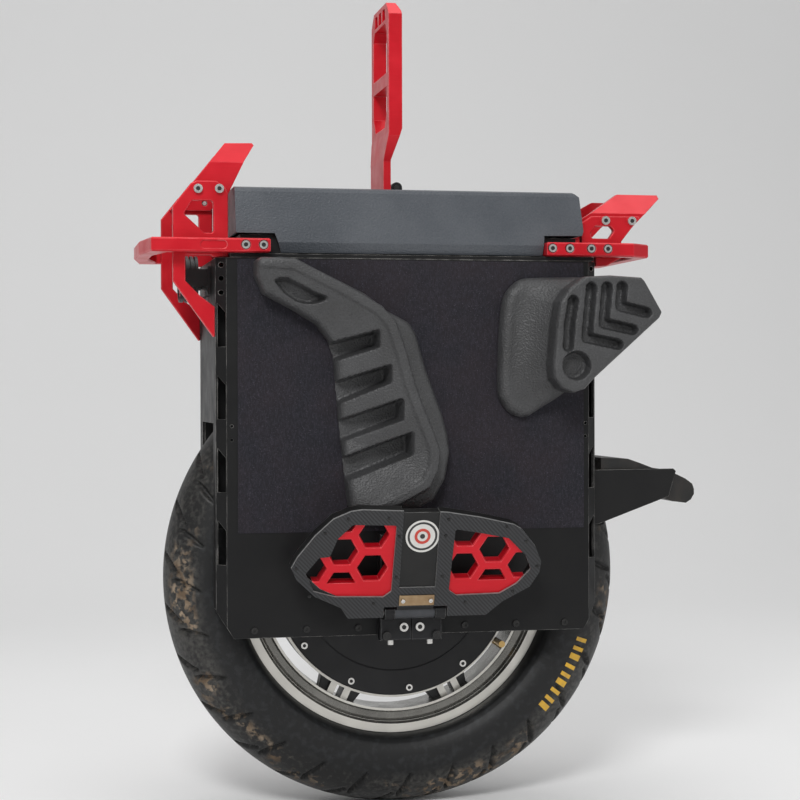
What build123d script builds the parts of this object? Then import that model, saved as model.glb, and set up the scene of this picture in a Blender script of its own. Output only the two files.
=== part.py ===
"""Electric unicycle with folding pedals, side pads and a fold-down trolley handle.

Every function below works in axle coordinates: X is 0 at the axle and -X is the
direction of travel, Y is 0 at the middle of the tyre and -Y is the rider's left,
Z is 0 on the ground. save() moves each piece along X so that the origin of the
finished part is the middle of its footprint.
"""
from build123d import *
from math import cos, radians, sin, sqrt, tan
import os

os.makedirs("parts", exist_ok=True)

# ---------------------------------------------------------------- driving sizes, mm
TYRE_R = 250.0            # outside radius of the tyre
TYRE_HALF = 49.7          # half the width of the tyre, and the radius of its round crown
RIM_R = 172.4             # rim flange
RIM_HALF = 25.4
RIM_BORE_R = 147.0        # inner lip of the rim
MOTOR_R = 132.6
MOTOR_HALF = 18.0         # half the length of the rotor ring
SPOKE_PAIRS = 7
MAGNETS = 28
COVER_SCREWS = 12
VALVE_ANGLE = -34.0       # place of the valve round the rim, 0 is rearwards and 90 is up
AXLE_R = 11.0
RUN = 0.05                # radial running clearance of shafts and pins

BODY_HALF = 93.5          # outer face of a side plate
BODY_FRONT = 201.4        # flat front face, ahead of the axle
BODY_REAR = 208.0         # flat rear face, behind the axle
BODY_CHAMFER = 10.1
BODY_BOTTOM = 193.5
BODY_TOP = 588.0
FLANGE_BOTTOM = 222.5     # where the corners of the body are cut away
SHEET = 2.5
TAPE = 0.8
COVER_TOP = 661.3
COVER_HALF = 94.3
DECK = 3.9                # thickness of the deck plate

FRONT_REACH = 277.5       # front bumper, ahead of the axle
REAR_REACH = 340.0        # tail of the mudguard, behind the axle
RAIL_OUT = 104.0          # outer face of the bumper rails
RAIL_IN = 87.0
RAIL_LOW = 592.6
RAIL_HIGH = 607.2
GUARD_IN, GUARD_OUT = 76.0, 84.0
FIN_IN, FIN_OUT = 70.0, 75.9

HINGE_Y = 121.0           # pedal hinge
HINGE_Z = 220.0
PEDAL_LEAN = 18.0         # the folded pedal leans out from the vertical, degrees
PEDAL_FACE = 8.0          # underside of the pedal, from the hinge's plane
PEDAL_PIN_R = 3.0
BARREL_R = 6.5
BARREL_HALF = 21.0

PIVOT_X, PIVOT_Z = 0.5, 669.4   # hinge of the trolley handle
HANDLE_TOP = 869.0
HANDLE_HALF = 49.0
HANDLE_PIN_R = 2.5

LAMP_X, LAMP_Z = -224.0, 570.0  # tilt axis of the headlight

AXLE_Z = TYRE_R
AXLE_SHIFT = (FRONT_REACH - REAR_REACH) / 2
SIDES = (("left", -1), ("right", 1))


# ---------------------------------------------------------------- helpers
def save(name, shape):
    """Move a shape, or a list of separate solids, to the part's frame and write it."""
    solids = shape if isinstance(shape, list) else [shape]
    moved = [Pos(AXLE_SHIFT, 0, 0) * solid for solid in solids]
    export_step(moved[0] if len(moved) == 1 else Compound(children=moved), f"parts/{name}.step")


def on_side(shape, side):
    """Pieces are drawn on the right (+Y); side -1 mirrors them to the left."""
    return mirror(shape, about=Plane.XZ) if side < 0 else shape


def polygon(points, corner=0.0):
    """Closed face in the XY plane, with its corners rounded."""
    face = make_face(Polyline(*points, close=True))
    return fillet(face.vertices(), corner) if corner else face


def xz_prism(points, y0, y1, corner=0.0):
    """Outline in X and Z, extruded from y0 to y1."""
    face = Plane.XZ * polygon(points, corner)
    return Pos(0, y0, 0) * extrude(face, amount=y1 - y0, dir=(0, 1, 0))


def yz_prism(points, x0, x1):
    """Outline in Y and Z, extruded from x0 to x1."""
    return Pos(x0, 0, 0) * extrude(Plane.YZ * polygon(points), amount=x1 - x0)


def xy_prism(points, z0, z1, corner=0.0):
    """Outline in X and Y, extruded from z0 to z1."""
    return Pos(0, 0, z0) * extrude(polygon(points, corner), amount=z1 - z0)


def block(x0, x1, y0, y1, z0, z1):
    """Box between two corners."""
    centre = Pos((x0 + x1) / 2, (y0 + y1) / 2, (z0 + z1) / 2)
    return centre * Box(x1 - x0, y1 - y0, z1 - z0)


def bevel_sides(shape, size=0.8):
    """Break the edges of the two faces that look along Y."""
    faces = shape.faces().sort_by(Axis.Y)
    return chamfer(faces[0].edges() + faces[-1].edges(), size)


def rod_y(radius, y0, y1, x=0.0, z=0.0):
    """Cylinder along Y."""
    return Pos(x, (y0 + y1) / 2, z) * Rot(90, 0, 0) * Cylinder(radius, y1 - y0)


def rod_x(radius, x0, x1, y=0.0, z=0.0):
    """Cylinder along X."""
    return Pos((x0 + x1) / 2, y, z) * Rot(0, 90, 0) * Cylinder(radius, x1 - x0)


def ring_y(outer, inner, y0, y1):
    """Ring about the axle."""
    return rod_y(outer, y0, y1, z=AXLE_Z) - rod_y(inner, y0 - 1, y1 + 1, z=AXLE_Z)


def turned(profile):
    """Revolve a profile of (radius, y) points about the axle."""
    return Pos(0, 0, AXLE_Z) * revolve(make_face(Polyline(*profile, close=True)), Axis.Y, 360)


def around_axle(degree):
    """Turn about the axle: 0 is +X and 90 is up."""
    return Pos(0, 0, AXLE_Z) * Rot(0, -degree, 0)


def screw_y(x, z, face, head_r, head_h, length):
    """Socket screw along Y on the right side, its head standing on y = face."""
    head = rod_y(head_r, face, face + head_h, x, z)
    socket = Pos(x, face + head_h - head_h * 0.3, z) * Rot(90, 0, 0) * extrude(
        RegularPolygon(head_r * 0.5, 6), amount=head_h * 0.31, both=True)
    return head - socket + rod_y(head_r * 0.5, face - length, face, x, z)


def drill_y(shape, points, radius, y0, y1):
    """Drill holes along Y."""
    for x, z in points:
        shape -= rod_y(radius, y0, y1, x, z)
    return shape


# ---------------------------------------------------------------- wheel
def tyre():
    """Hollow tyre, from its beads to its round crown."""
    mid = TYRE_R - TYRE_HALF
    wall = 8.5
    flat = sqrt(0.5)
    half = [
        Line((161.0, 13.0), (161.0, 22.3)),
        Line((161.0, 22.3), (172.8, 22.3)),
        ThreePointArc((172.8, 22.3), (182.0, 42.5), (mid, TYRE_HALF)),
        ThreePointArc((mid, TYRE_HALF), (mid + TYRE_HALF * flat, TYRE_HALF * flat), (TYRE_R, 0)),
    ]
    inside = TYRE_HALF - wall
    half += [
        Line((161.0, 13.0), (173.5, 14.5)),
        ThreePointArc((173.5, 14.5), (185.0, 35.5), (mid, inside)),
        ThreePointArc((mid, inside), (mid + inside * flat, inside * flat), (TYRE_R - wall, 0)),
    ]
    section = make_face(half + [mirror(edge, about=Plane.XZ) for edge in half])
    return Pos(0, 0, AXLE_Z) * revolve(section, Axis.Y, 360)


def rim():
    """Rim, hub ring and the pairs of spokes between them."""
    half = [(153.5, 8.0), (160.6, 12.0), (160.6, 22.6), (RIM_R, 22.6), (RIM_R, RIM_HALF),
            (163.2, RIM_HALF), (161.4, 23.2), (158.0, 19.6), (151.5, 18.8), (149.6, 21.8),
            (RIM_BORE_R, 21.8)]
    barrel = turned(half + [(r, -y) for r, y in reversed(half)])
    hub = ring_y(135.4, MOTOR_R + 0.05, -MOTOR_HALF + 1, MOTOR_HALF - 1)
    casting = barrel + hub
    for pair in range(SPOKE_PAIRS):
        for offset in (-8.2, 8.2):
            spoke = block(134.5, RIM_BORE_R + 2, -14, 14, offset - 3.8, offset + 3.8)
            casting += around_axle(-90 + (pair + 0.5) * 360 / SPOKE_PAIRS) * spoke
    return casting - around_axle(VALVE_ANGLE) * rod_x(4.1, 140, 158)


def valve_stem():
    """Bent valve: out of the rim towards the axle, then out to the left."""
    bend = 141.5
    stem = rod_x(4.0, bend, 153.6) + rod_x(6.5, 153.6, 156.5)
    arm = rod_y(2.7, -24, 0, x=bend) + rod_y(3.6, -33, -23, x=bend)
    return around_axle(VALVE_ANGLE) * (stem + Pos(bend, 0, 0) * Sphere(4.0) + arm)


def motor_cover(side):
    """Dished side of the motor, with the bearing seat."""
    profile = [(23.04, 18.2), (MOTOR_R, 18.2), (MOTOR_R, 20.8), (MOTOR_R - 1, 21.8), (106, 21.8),
               (104, 23.3), (48, 23.3), (40, 36.5), (23.04, 36.5)]
    return on_side(turned(profile), side)


def cover_screws():
    """Screws round both motor covers."""
    screws = []
    for _, side in SIDES:
        for step in range(COVER_SCREWS):
            angle = radians(-83 + step * 360 / COVER_SCREWS)
            x, z = 125.5 * cos(angle), AXLE_Z + 125.5 * sin(angle)
            screws.append(on_side(screw_y(x, z, 21.85, 3.6, 1.9, 0.01), side))
    return screws


def rotor_magnets():
    """Ring of flat magnets with gaps between them."""
    ring = ring_y(112.0, 109.2, -13, 13)
    for step in range(MAGNETS):
        ring -= around_axle(step * 360 / MAGNETS) * block(100, 120, -20, 20, -0.8, 0.8)
    return list(ring.solids())


def stator():
    """Core with its openings, and the two rings of windings."""
    core = ring_y(108.2, AXLE_R + 0.05, -12, 12)
    for step in range(6):
        core -= around_axle(step * 60 + 30) * rod_y(17, -20, 20, x=48)
    coils = [ring_y(106, 74, 12.2, 17.2), ring_y(106, 74, -17.2, -12.2)]
    return core, coils


def wheel():
    """Write the pieces that turn, and the stator and axle that do not."""
    save("tyre", tyre())
    save("rim", rim())
    save("valve_stem", valve_stem())
    save("motor_shell", ring_y(MOTOR_R, 112.2, -MOTOR_HALF, MOTOR_HALF))
    save("rotor_magnets", rotor_magnets())
    for name, side in SIDES:
        save(f"motor_cover_{name}", motor_cover(side))
    save("motor_cover_screws", cover_screws())
    save("wheel_bearings", [on_side(ring_y(23.0, AXLE_R + RUN, 24, 36), s) for _, s in SIDES])
    core, coils = stator()
    save("stator_core", core)
    save("stator_coils", coils)
    save("axle", rod_y(AXLE_R, -106, 106, z=AXLE_Z) - rod_y(5, -107, 107, z=AXLE_Z))


# ---------------------------------------------------------------- body
HANGER_HALF = 33.0
HANGER_WINDOW = 26.6          # half width of the gap in a side plate that the hanger fills
HANGER_TOP = 297.0
SLOT_TOPS = (541.0, 466.0, 390.5, 315.4)   # lightening slots in the folded edges
SLOT_DROP = 10.0
SLOT_LENGTH = 45.5
EDGE_HOLES = (580.3, 566.3, 551.6)
BOTTOM_SCREWS = (-163.2, -108.5, -53.9, 60.9, 116.8, 170.5)
BOTTOM_SCREW_Z = 201.3
SIDE_HOLES = [(-185.9, 413.4), (-185.9, 399.0), (194.5, 414.5), (194.5, 400.6)]
HANGER_BOLTS = [(-8.5, 203.0), (8.5, 203.0), (-26.5, 194.0), (26.5, 194.0), (-26.5, 290.0),
                (26.5, 290.0)]


def folded_sheet():
    """Cross-section of a side plate, with its folded front and rear edges."""
    inner = SHEET * tan(radians(22.5))
    lean = SHEET * sqrt(0.5)
    front = BODY_CHAMFER - BODY_FRONT
    rear = BODY_REAR - BODY_CHAMFER
    edge = BODY_HALF - BODY_CHAMFER
    return [(-BODY_FRONT, edge), (front, BODY_HALF), (rear, BODY_HALF), (BODY_REAR, edge),
            (BODY_REAR - lean, edge - lean), (rear - inner, BODY_HALF - SHEET),
            (front + inner, BODY_HALF - SHEET), (-BODY_FRONT + lean, edge - lean)]


def edge_slot(x_edge, x_fold, top):
    """Slot across a folded edge, its ends cut on a slant."""
    drop = top - SLOT_DROP
    outline = [(x_edge, top), (x_fold, drop), (x_fold, drop - SLOT_LENGTH + 10),
               (x_edge, top - SLOT_LENGTH)]
    return xz_prism(outline, 70, BODY_HALF + 1)


def side_plate(side):
    """One folded side sheet, with its slots, holes and the gap for the hanger."""
    plate = xy_prism(folded_sheet(), BODY_BOTTOM, BODY_TOP)
    for face, fold in ((-BODY_FRONT - 1, BODY_CHAMFER - BODY_FRONT + 7),
                       (BODY_REAR + 1, BODY_REAR - BODY_CHAMFER - 6)):
        plate -= xz_prism([(face, FLANGE_BOTTOM), (fold, BODY_BOTTOM), (face, BODY_BOTTOM - 1)],
                          70, 100)
    for top in SLOT_TOPS:
        plate -= edge_slot(-BODY_FRONT + 1.6, -BODY_FRONT + BODY_CHAMFER - 0.6, top)
        plate -= edge_slot(BODY_REAR - 1.6, BODY_REAR - BODY_CHAMFER + 0.6, top)
    plate -= block(-HANGER_WINDOW, HANGER_WINDOW, 80, 100, BODY_BOTTOM - 1, HANGER_TOP + 0.1)
    plate = drill_y(plate, [(x, BOTTOM_SCREW_Z) for x in BOTTOM_SCREWS], 2.1, 80, 100)
    plate = drill_y(plate, SIDE_HOLES, 1.6, 80, 100)
    plate = drill_y(plate, [(x, z) for z in EDGE_HOLES for x in (-196.0, 203.0)], 2.6, 70, 100)
    return on_side(plate, side)


def grip_tape(side):
    """Rough sheet stuck to the upper part of a side plate."""
    sheet = block(-179.8, 192.4, BODY_HALF + 0.02, BODY_HALF + TAPE, 302.5, 586.5)
    return on_side(sheet, side)


def body_screws():
    """Row of screws along the bottom of both side plates."""
    screws = []
    for _, side in SIDES:
        for x in BOTTOM_SCREWS:
            screw = screw_y(x, BOTTOM_SCREW_Z, BODY_HALF + 0.05, 3.5, 2.0, 8)
            screws.append(on_side(screw, side))
    return screws


def end_cover(x0, x1):
    """Front or rear cover, slotted for the tyre."""
    half = BODY_HALF - BODY_CHAMFER - SHEET * sqrt(0.5) - 0.3
    cover = block(x0, x1, -half, half, FLANGE_BOTTOM, BODY_TOP)
    return cover - block(x0 - 1, x1 + 1, -58, 58, FLANGE_BOTTOM - 1, 416)


def wheel_arch():
    """Liner that closes the body off from the tyre."""
    front, rear = -BODY_FRONT + SHEET + 0.1, BODY_REAR - SHEET - 0.1
    walls = [block(front, rear, 57.5, 59.5, 305, 583), block(front, rear, -59.5, -57.5, 305, 583)]
    roof = ring_y(264, 262, -57.5, 57.5) & block(front, rear, -57.5, 57.5, 420, 600)
    return walls[0] + walls[1] + roof


def pedal_hanger(side):
    """Axle clamp and hinge lugs of one pedal."""
    outer = block(-HANGER_HALF, HANGER_HALF, BODY_HALF + 0.3, 108, 189, 300)
    inner = block(-HANGER_WINDOW + 0.1, HANGER_WINDOW - 0.1, 62, BODY_HALF + 0.4, 205, HANGER_TOP)
    hanger = chamfer(outer.faces().sort_by(Axis.Y)[-1].edges(), 1.2) + inner
    for lug in (-1, 1):
        x0, x1 = sorted((lug * 21.5, lug * 32.0))
        hanger += block(x0, x1, 107, HINGE_Y, HINGE_Z - 8, HINGE_Z + 8)
        hanger += rod_x(8, x0, x1, HINGE_Y, HINGE_Z)
    hanger -= rod_x(PEDAL_PIN_R + 0.02, -40, 40, HINGE_Y, HINGE_Z)
    hanger -= rod_y(AXLE_R + 0.02, 50, 120, z=AXLE_Z)
    hanger -= block(-0.5, 0.5, 50, 120, 180, AXLE_Z)
    return on_side(drill_y(hanger, HANGER_BOLTS, 2.35, 90, 120), side)


def hanger_bolts():
    """Bolts through both hangers, and the stubs of their clamp bolts underneath."""
    bolts = []
    for _, side in SIDES:
        for x, z in HANGER_BOLTS:
            bolts.append(on_side(screw_y(x, z, 108.05, 4.6, 3.6, 8), side))
        for x in (-21, 21):
            clamp = Pos(x, 101, 186.4) * Cylinder(3.4, 5)
            bolts.append(on_side(clamp, side))
    return bolts


def battery(side):
    """Battery pack behind a side plate."""
    pack = block(-186, 192, 60.2, 89.5, 312, 584)
    return on_side(chamfer(pack.edges().filter_by(Axis.Y), 6), side)


def body():
    """Write the body, its batteries and the pedal hangers."""
    for name, side in SIDES:
        save(f"side_plate_{name}", side_plate(side))
        save(f"grip_tape_{name}", grip_tape(side))
        save(f"battery_{name}", battery(side))
        save(f"pedal_hanger_{name}", pedal_hanger(side))
    save("body_screws", body_screws())
    save("hanger_bolts", hanger_bolts())
    save("front_cover", end_cover(-BODY_FRONT, -BODY_FRONT + SHEET))
    save("rear_cover", end_cover(BODY_REAR - SHEET, BODY_REAR))
    save("wheel_arch", wheel_arch())


# ---------------------------------------------------------------- deck and top cover
COVER_OUTLINE = [(-140.8, 613.4), (-181.3, 613.4), (-182.6, COVER_TOP), (181.0, COVER_TOP),
                 (187.6, 656.0), (192.5, 620.0), (190.9, 615.0), (149.0, 614.5), (148.2, 593.5),
                 (-133.5, 593.5), (-137.5, 605.0)]
BUTTON_X, BUTTON_Y, BUTTON_R = 168.0, 60.0, 8.0


def top_cover():
    """Hollow cover over the deck, with the hole for the button."""
    shell = xz_prism(COVER_OUTLINE, -COVER_HALF, COVER_HALF)
    low, lip, crown = 593.5, 604.0, COVER_TOP - 5
    half, narrow = COVER_HALF, COVER_HALF - 5.5
    section = [(-narrow, low), (-half, lip), (-half, crown), (-half + 1.6, crown + 3.4),
               (-half + 5, COVER_TOP), (half - 5, COVER_TOP), (half - 1.6, crown + 3.4),
               (half, crown), (half, lip), (narrow, low)]
    shell &= yz_prism(section, -200, 210)
    wall = 3.0
    cavity = [(-178.2, 590.0), (-179.6, COVER_TOP - wall), (180.0, COVER_TOP - wall),
              (184.6, 655.0), (189.3, 620.0), (187.6, 590.0)]
    room = [(-narrow + wall, low - 5), (-half + wall, lip), (-half + wall, crown - 1),
            (-half + 6.5, COVER_TOP - wall), (half - 6.5, COVER_TOP - wall),
            (half - wall, crown - 1), (half - wall, lip), (narrow - wall, low - 5)]
    shell -= xz_prism(cavity, -100, 100) & yz_prism(room, -200, 210)
    return shell - Pos(BUTTON_X, BUTTON_Y, COVER_TOP) * Cylinder(BUTTON_R + 0.3, 12)


def deck_plate():
    """Plate on top of the body, with the upstand that the bumper rails bolt to."""
    low = BODY_TOP + 0.3
    plate = block(-187.5, 204, -BODY_HALF, BODY_HALF, low, low + DECK)
    half = RAIL_IN - 0.3
    upstand = block(-176, 186, -half, half, low + DECK - 0.5, 612.4)
    upstand -= block(-171, 181, -half + 4.5, half - 4.5, low + DECK, 620)
    below_cover = yz_prism([(-81.0, 590), (-88.0, 604), (-88.0, 630), (88.0, 630), (88.0, 604),
                            (81.0, 590)], -134, 149.6)
    middle = block(-134, 149.6, -100, 100, low + DECK, 620)
    return plate + (upstand - middle) + (upstand & below_cover)


def power_button():
    """Button and its stem."""
    cap = Pos(BUTTON_X, BUTTON_Y, COVER_TOP - 2.4) * Cylinder(BUTTON_R, 9)
    stem = Pos(BUTTON_X, BUTTON_Y, COVER_TOP - 10.5) * Cylinder(3.5, 9)
    return chamfer(cap.edges().sort_by(Axis.Z)[-1], 0.8) + stem


def deck():
    """Write the deck, its cover, and the controller and heat sink under it."""
    save("deck_plate", deck_plate())
    save("top_cover", top_cover())
    save("power_button", power_button())
    base = BODY_TOP + 0.3 + DECK
    sink = block(-110, 110, -60, 60, base + 0.1, base + 4)
    for step in range(13):
        x = -102 + step * 17
        sink += block(x - 1.5, x + 1.5, -60, 60, base + 3.9, base + 16)
    save("heat_sink", sink)
    board = block(-112, 112, -62, 62, base + 16.1, base + 18.1)
    for x in (-80, -50, -20):
        board += Pos(x, -30, base + 27) * Cylinder(11, 18)
    board += block(10, 95, -45, 45, base + 18, base + 30)
    save("controller", board)


# ---------------------------------------------------------------- guards and bumpers
FRONT_GUARD = [(-202.0, 503.4), (-245.3, 563.6), (-245.3, 641.3), (-226.5, 664.8), (-221.0, 667.4),
               (-200.0, 667.4), (-191.0, 661.0), (-188.0, 655.0), (-188.0, 588.6), (-203.5, 588.6),
               (-206.0, 590.5), (-232.3, 590.5), (-232.3, 563.7), (-217.1, 548.3), (-202.0, 537.0)]
FRONT_WINDOW = [(-233.9, 633.0), (-225.1, 647.0), (-203.4, 647.0), (-203.4, 613.7), (-212.8, 613.7)]
FRONT_FIN = [(-236.0, 651.0), (-189.0, 709.7), (-160.2, 710.4), (-158.6, 707.7), (-169.9, 689.9),
             (-187.0, 655.0), (-191.0, 651.0)]
FRONT_BOLTS = [(-219.3, 659.0), (-197.3, 659.3)]
FRONT_RAIL_BOLTS = [(-172.0, 600.4), (-153.6, 600.4)]
REAR_GUARD = [(193.5, 593.0), (193.5, 630.0), (205.0, 637.4), (260.3, 637.8), (238.5, 610.5),
              (238.5, 593.0), (222.0, 584.0), (209.2, 583.0), (209.2, 593.0)]
REAR_WINDOW = [(203.8, 619.6), (208.7, 627.0), (225.6, 627.0), (230.4, 622.2), (224.5, 613.4),
               (204.5, 613.4)]
REAR_FIN = [(195.0, 630.0), (197.0, 635.5), (244.6, 664.8), (290.6, 664.8), (291.0, 660.3),
            (265.8, 639.6), (254.0, 627.5)]
REAR_BOLTS = [(219.9, 632.7), (249.6, 632.7)]
REAR_RAIL_BOLTS = [(155.4, 600.8), (174.4, 600.8), (198.3, 600.8), (216.8, 600.8)]
M6_HEAD_R, M6_HOLE_R = 4.7, 3.1


def fin(outline, bolts, bend, lean, reach, side):
    """Flat plate whose upper part is bent inwards above the height bend."""
    thick = FIN_OUT - FIN_IN
    run = reach * tan(radians(lean))
    inner_bend = bend - thick * tan(radians(lean / 2))
    section = [(FIN_OUT, 600), (FIN_OUT, bend), (FIN_OUT - run, bend + reach),
               (FIN_OUT - run - thick / cos(radians(lean)), bend + reach),
               (FIN_IN, inner_bend), (FIN_IN, 600)]
    sheet = yz_prism(section, -300, 300) & xz_prism(outline, -FIN_OUT, FIN_OUT + 1)
    return on_side(drill_y(sheet, bolts, M6_HOLE_R, 60, 90), side)


def guard(outline, window, bolts, side):
    """Flat plate with one window and its bolt holes."""
    plate = xz_prism(outline, GUARD_IN, GUARD_OUT, 1.2) - xz_prism(window, 60, 100, 3.0)
    plate = drill_y(plate, bolts, M6_HOLE_R, 60, 100)
    return on_side(bevel_sides(plate, 0.7), side)


def bumper(outline, inset, slots, bolts, sink):
    """U-shaped bumper, its rails bolted to the upstand of the deck.

    slots are the ends along X of the shallow slots in the rails; sink is the radius and
    depth of the counterbores.
    """
    sink_r, sink_deep = sink
    bar = xy_prism(outline + [(x, -y) for x, y in reversed(outline)], RAIL_LOW, RAIL_HIGH)
    hollow = inset + [(x, -y) for x, y in reversed(inset)]
    bar -= xy_prism(hollow, RAIL_LOW - 1, RAIL_HIGH + 1)
    edges = bar.faces().sort_by(Axis.Z)
    bar = chamfer(edges[0].edges() + edges[-1].edges(), 1.4)
    for x, z in bolts:
        for low, high in ((RAIL_IN - 2, RAIL_OUT + 2), (-RAIL_OUT - 2, -RAIL_IN + 2)):
            bar -= rod_y(M6_HOLE_R, low, high, x, z)
        for low, high in ((RAIL_OUT - sink_deep, RAIL_OUT + 2), (-RAIL_OUT - 2, -RAIL_OUT + sink_deep)):
            bar -= rod_y(sink_r, low, high, x, z)
    for x0, x1 in slots:
        for side in (-1, 1):
            slot = xz_prism([(x0, 596), (x1, 596), (x1, 604.5), (x0, 604.5)],
                            RAIL_OUT - 1.6, RAIL_OUT + 2, 4.0)
            bar -= on_side(slot, side)
    return bar


def guard_screws():
    """Screws of the guards and of the bumper rails."""
    screws = []
    for _, side in SIDES:
        for x, z in FRONT_BOLTS + REAR_BOLTS:
            screws.append(on_side(screw_y(x, z, GUARD_OUT + 0.05, M6_HEAD_R, 3.6, 13.5), side))
        for x, z in FRONT_RAIL_BOLTS + REAR_RAIL_BOLTS:
            screws.append(on_side(screw_y(x, z, RAIL_OUT - 2.9, M6_HEAD_R - 0.4, 3.6, 13.5), side))
    return screws


def guards():
    """Write the guards, fins and bumpers at both ends."""
    for name, side in SIDES:
        save(f"front_guard_{name}", guard(FRONT_GUARD, FRONT_WINDOW, FRONT_BOLTS, side))
        save(f"front_fin_{name}", fin(FRONT_FIN, FRONT_BOLTS, 688.0, 35.0, 40.0, side))
        save(f"rear_guard_{name}", guard(REAR_GUARD, REAR_WINDOW, REAR_BOLTS, side))
        save(f"rear_fin_{name}", fin(REAR_FIN, REAR_BOLTS, 641.5, 48.0, 40.0, side))
    sink = (M6_HEAD_R + 0.5, 3.0)
    front = [(-146.4, RAIL_OUT), (-269.0, RAIL_OUT), (-FRONT_REACH, 40.0)]
    front_inner = [(-140.0, RAIL_IN), (-250.0, RAIL_IN), (-262.0, 36.0)]
    save("front_bumper", bumper(front, front_inner, [(-218.8, -191.1)], FRONT_RAIL_BOLTS, sink))
    rear = [(149.2, RAIL_OUT), (246.0, RAIL_OUT), (268.0, 86.0)]
    rear_inner = [(140.0, RAIL_IN), (240.0, RAIL_IN), (253.0, 76.0)]
    save("rear_bumper", bumper(rear, rear_inner, [], REAR_RAIL_BOLTS, sink))
    save("guard_screws", guard_screws())


# ---------------------------------------------------------------- headlight
LAMP_R = 25.0
LAMP_PIN_R = 2.5
LAMP_FINS = 3


def headlight():
    """Write the tilting lamp, its lens and its fixed bracket with two pins."""
    depth = [(-232, LAMP_R), (-228, LAMP_R)]
    for step in range(LAMP_FINS):
        x = -228 + step * 5
        depth += [(x, LAMP_R - 3), (x + 2, LAMP_R - 3), (x + 2, LAMP_R), (x + 5, LAMP_R)]
    depth += [(-213, 12), (-209, 12), (-209, 0), (-228, 0), (-228, LAMP_R - 5), (-232, LAMP_R - 2)]
    barrel = Pos(0, 0, LAMP_Z) * revolve(make_face(Polyline(*depth, close=True)), Axis.X, 360)
    for side in (-1, 1):
        barrel += rod_y(6.5, *sorted((side * 20.3, side * 30.0)), LAMP_X, LAMP_Z)
        barrel -= rod_y(LAMP_PIN_R + RUN, *sorted((side * 21.8, side * 40.0)), LAMP_X, LAMP_Z)
    save("headlight_housing", barrel)
    lens = rod_x(LAMP_R - 5.2, -231.0, -228.0, z=LAMP_Z)
    save("headlight_lens", chamfer(lens.edges().sort_by(Axis.X)[0], 1.5))
    bracket = block(-204.5, -201.6, -36, 36, LAMP_Z - 18, LAMP_Z + 12)
    for side in (-1, 1):
        y0, y1 = sorted((side * 30.4, side * 33.4))
        bracket += block(LAMP_X, -202, y0, y1, LAMP_Z - 9, LAMP_Z + 9)
        bracket += rod_y(9, y0, y1, LAMP_X, LAMP_Z)
        bracket += rod_y(LAMP_PIN_R, *sorted((side * 22.0, side * 36.5)), LAMP_X, LAMP_Z)
    save("headlight_bracket", bracket)


# ---------------------------------------------------------------- trolley handle
def handle_frame():
    """Flat frame across the body, with a hand hold, a lower window and a tapered foot."""
    top, half, corner = HANDLE_TOP, HANDLE_HALF, 14.0
    outline = [(-37, 661.9), (37, 661.9), (37, 697), (half, 724), (half, top - corner),
               (half - corner, top), (corner - half, top), (-half, top - corner), (-half, 724),
               (-37, 697)]
    side_view = [(-14.6, 661.0), (-14.6, 700.0), (-11.0, 728.0), (-11.0, top + 1), (-1.0, top + 1),
                 (3.7, top - 10), (3.7, 732.0), (-6.6, 699.0), (-6.6, 661.0)]
    frame = yz_prism(outline, -20, 10) & xz_prism(side_view, -60, 60)
    grip = [(-38.0, 838), (-30.0, 848), (30.0, 848), (38.0, 838), (38.0, 793), (-38.0, 793)]
    window = [(-38.0, 779), (38.0, 779), (38.0, 752), (26.0, 735), (-26.0, 735), (-38.0, 752)]
    frame -= yz_prism(grip, -30, 20)
    frame -= yz_prism(window, -30, 20)
    for centre in (-21.0, 0.0, 21.0):
        cell = [(centre - 9, 851.5), (centre + 9, 851.5), (centre + 6, 864.5), (centre - 6, 864.5)]
        frame -= yz_prism(cell, -30, 20)
    lug = rod_y(4.8, -21, 21, PIVOT_X, PIVOT_Z)
    lug += block(-7.5, PIVOT_X, -21, 21, PIVOT_Z - 4.5, PIVOT_Z + 4.5)
    return frame + lug - rod_y(HANDLE_PIN_R + RUN, -60, 60, PIVOT_X, PIVOT_Z)


def handle():
    """Write the trolley handle, its bracket and its pin."""
    save("handle_frame", handle_frame())
    base = COVER_TOP + 0.1
    bracket = block(-5.5, 24, -34, 34, base, base + 2.4)
    for side in (-1, 1):
        y0, y1 = sorted((side * 21.5, side * 34.0))
        bracket += rod_y(6, y0, y1, PIVOT_X, PIVOT_Z) + block(-5.5, 6.5, y0, y1, base, PIVOT_Z)
    bracket -= rod_y(5.6, -21.5, 21.5, PIVOT_X, PIVOT_Z)
    bracket -= rod_y(HANDLE_PIN_R + 0.02, -60, 60, PIVOT_X, PIVOT_Z)
    save("handle_bracket", bracket)
    save("handle_pin", rod_y(HANDLE_PIN_R, -36, 36, PIVOT_X, PIVOT_Z))


# ---------------------------------------------------------------- pedals
PEDAL_OUTLINE = [(-71, -2), (-79, 10), (-106, 23), (-126, 42), (-132, 55), (-126, 67), (-109, 90),
                 (-91, 108), (-73, 116), (-62, 117.5), (26, 113.5), (61, 107.5), (97, 99),
                 (106, 94), (122, 75), (130, 57), (129, 45), (120, 29), (92, 13), (75, -2)]
FRONT_OPENING = [(-117, 49), (-108, 29), (-86, 22.5), (-35, 21), (-27, 27), (-25.5, 100),
                 (-71, 101.5), (-86, 86), (-93, 67), (-104, 66)]
REAR_OPENING = [(36, 95), (64, 90), (93, 84), (113, 64), (119.5, 49), (106, 33), (88, 22),
                (42, 21), (33.5, 27)]
HEX_PITCH = 36.4
HEX_R = 15.6
HEX_X = 48.0
HEX_COLUMNS = ((52.5, 88.9), (34.3, 70.7, 107.1), (52.5,))     # heights of the cells in each column
HEX_FLOOR = 36.5              # no cell reaches nearer to the hinge
EDGE = 9.0                    # width of the black edge round the honeycomb
BAND_HALF = 19.0
BAND_LOW = 31.0


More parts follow.
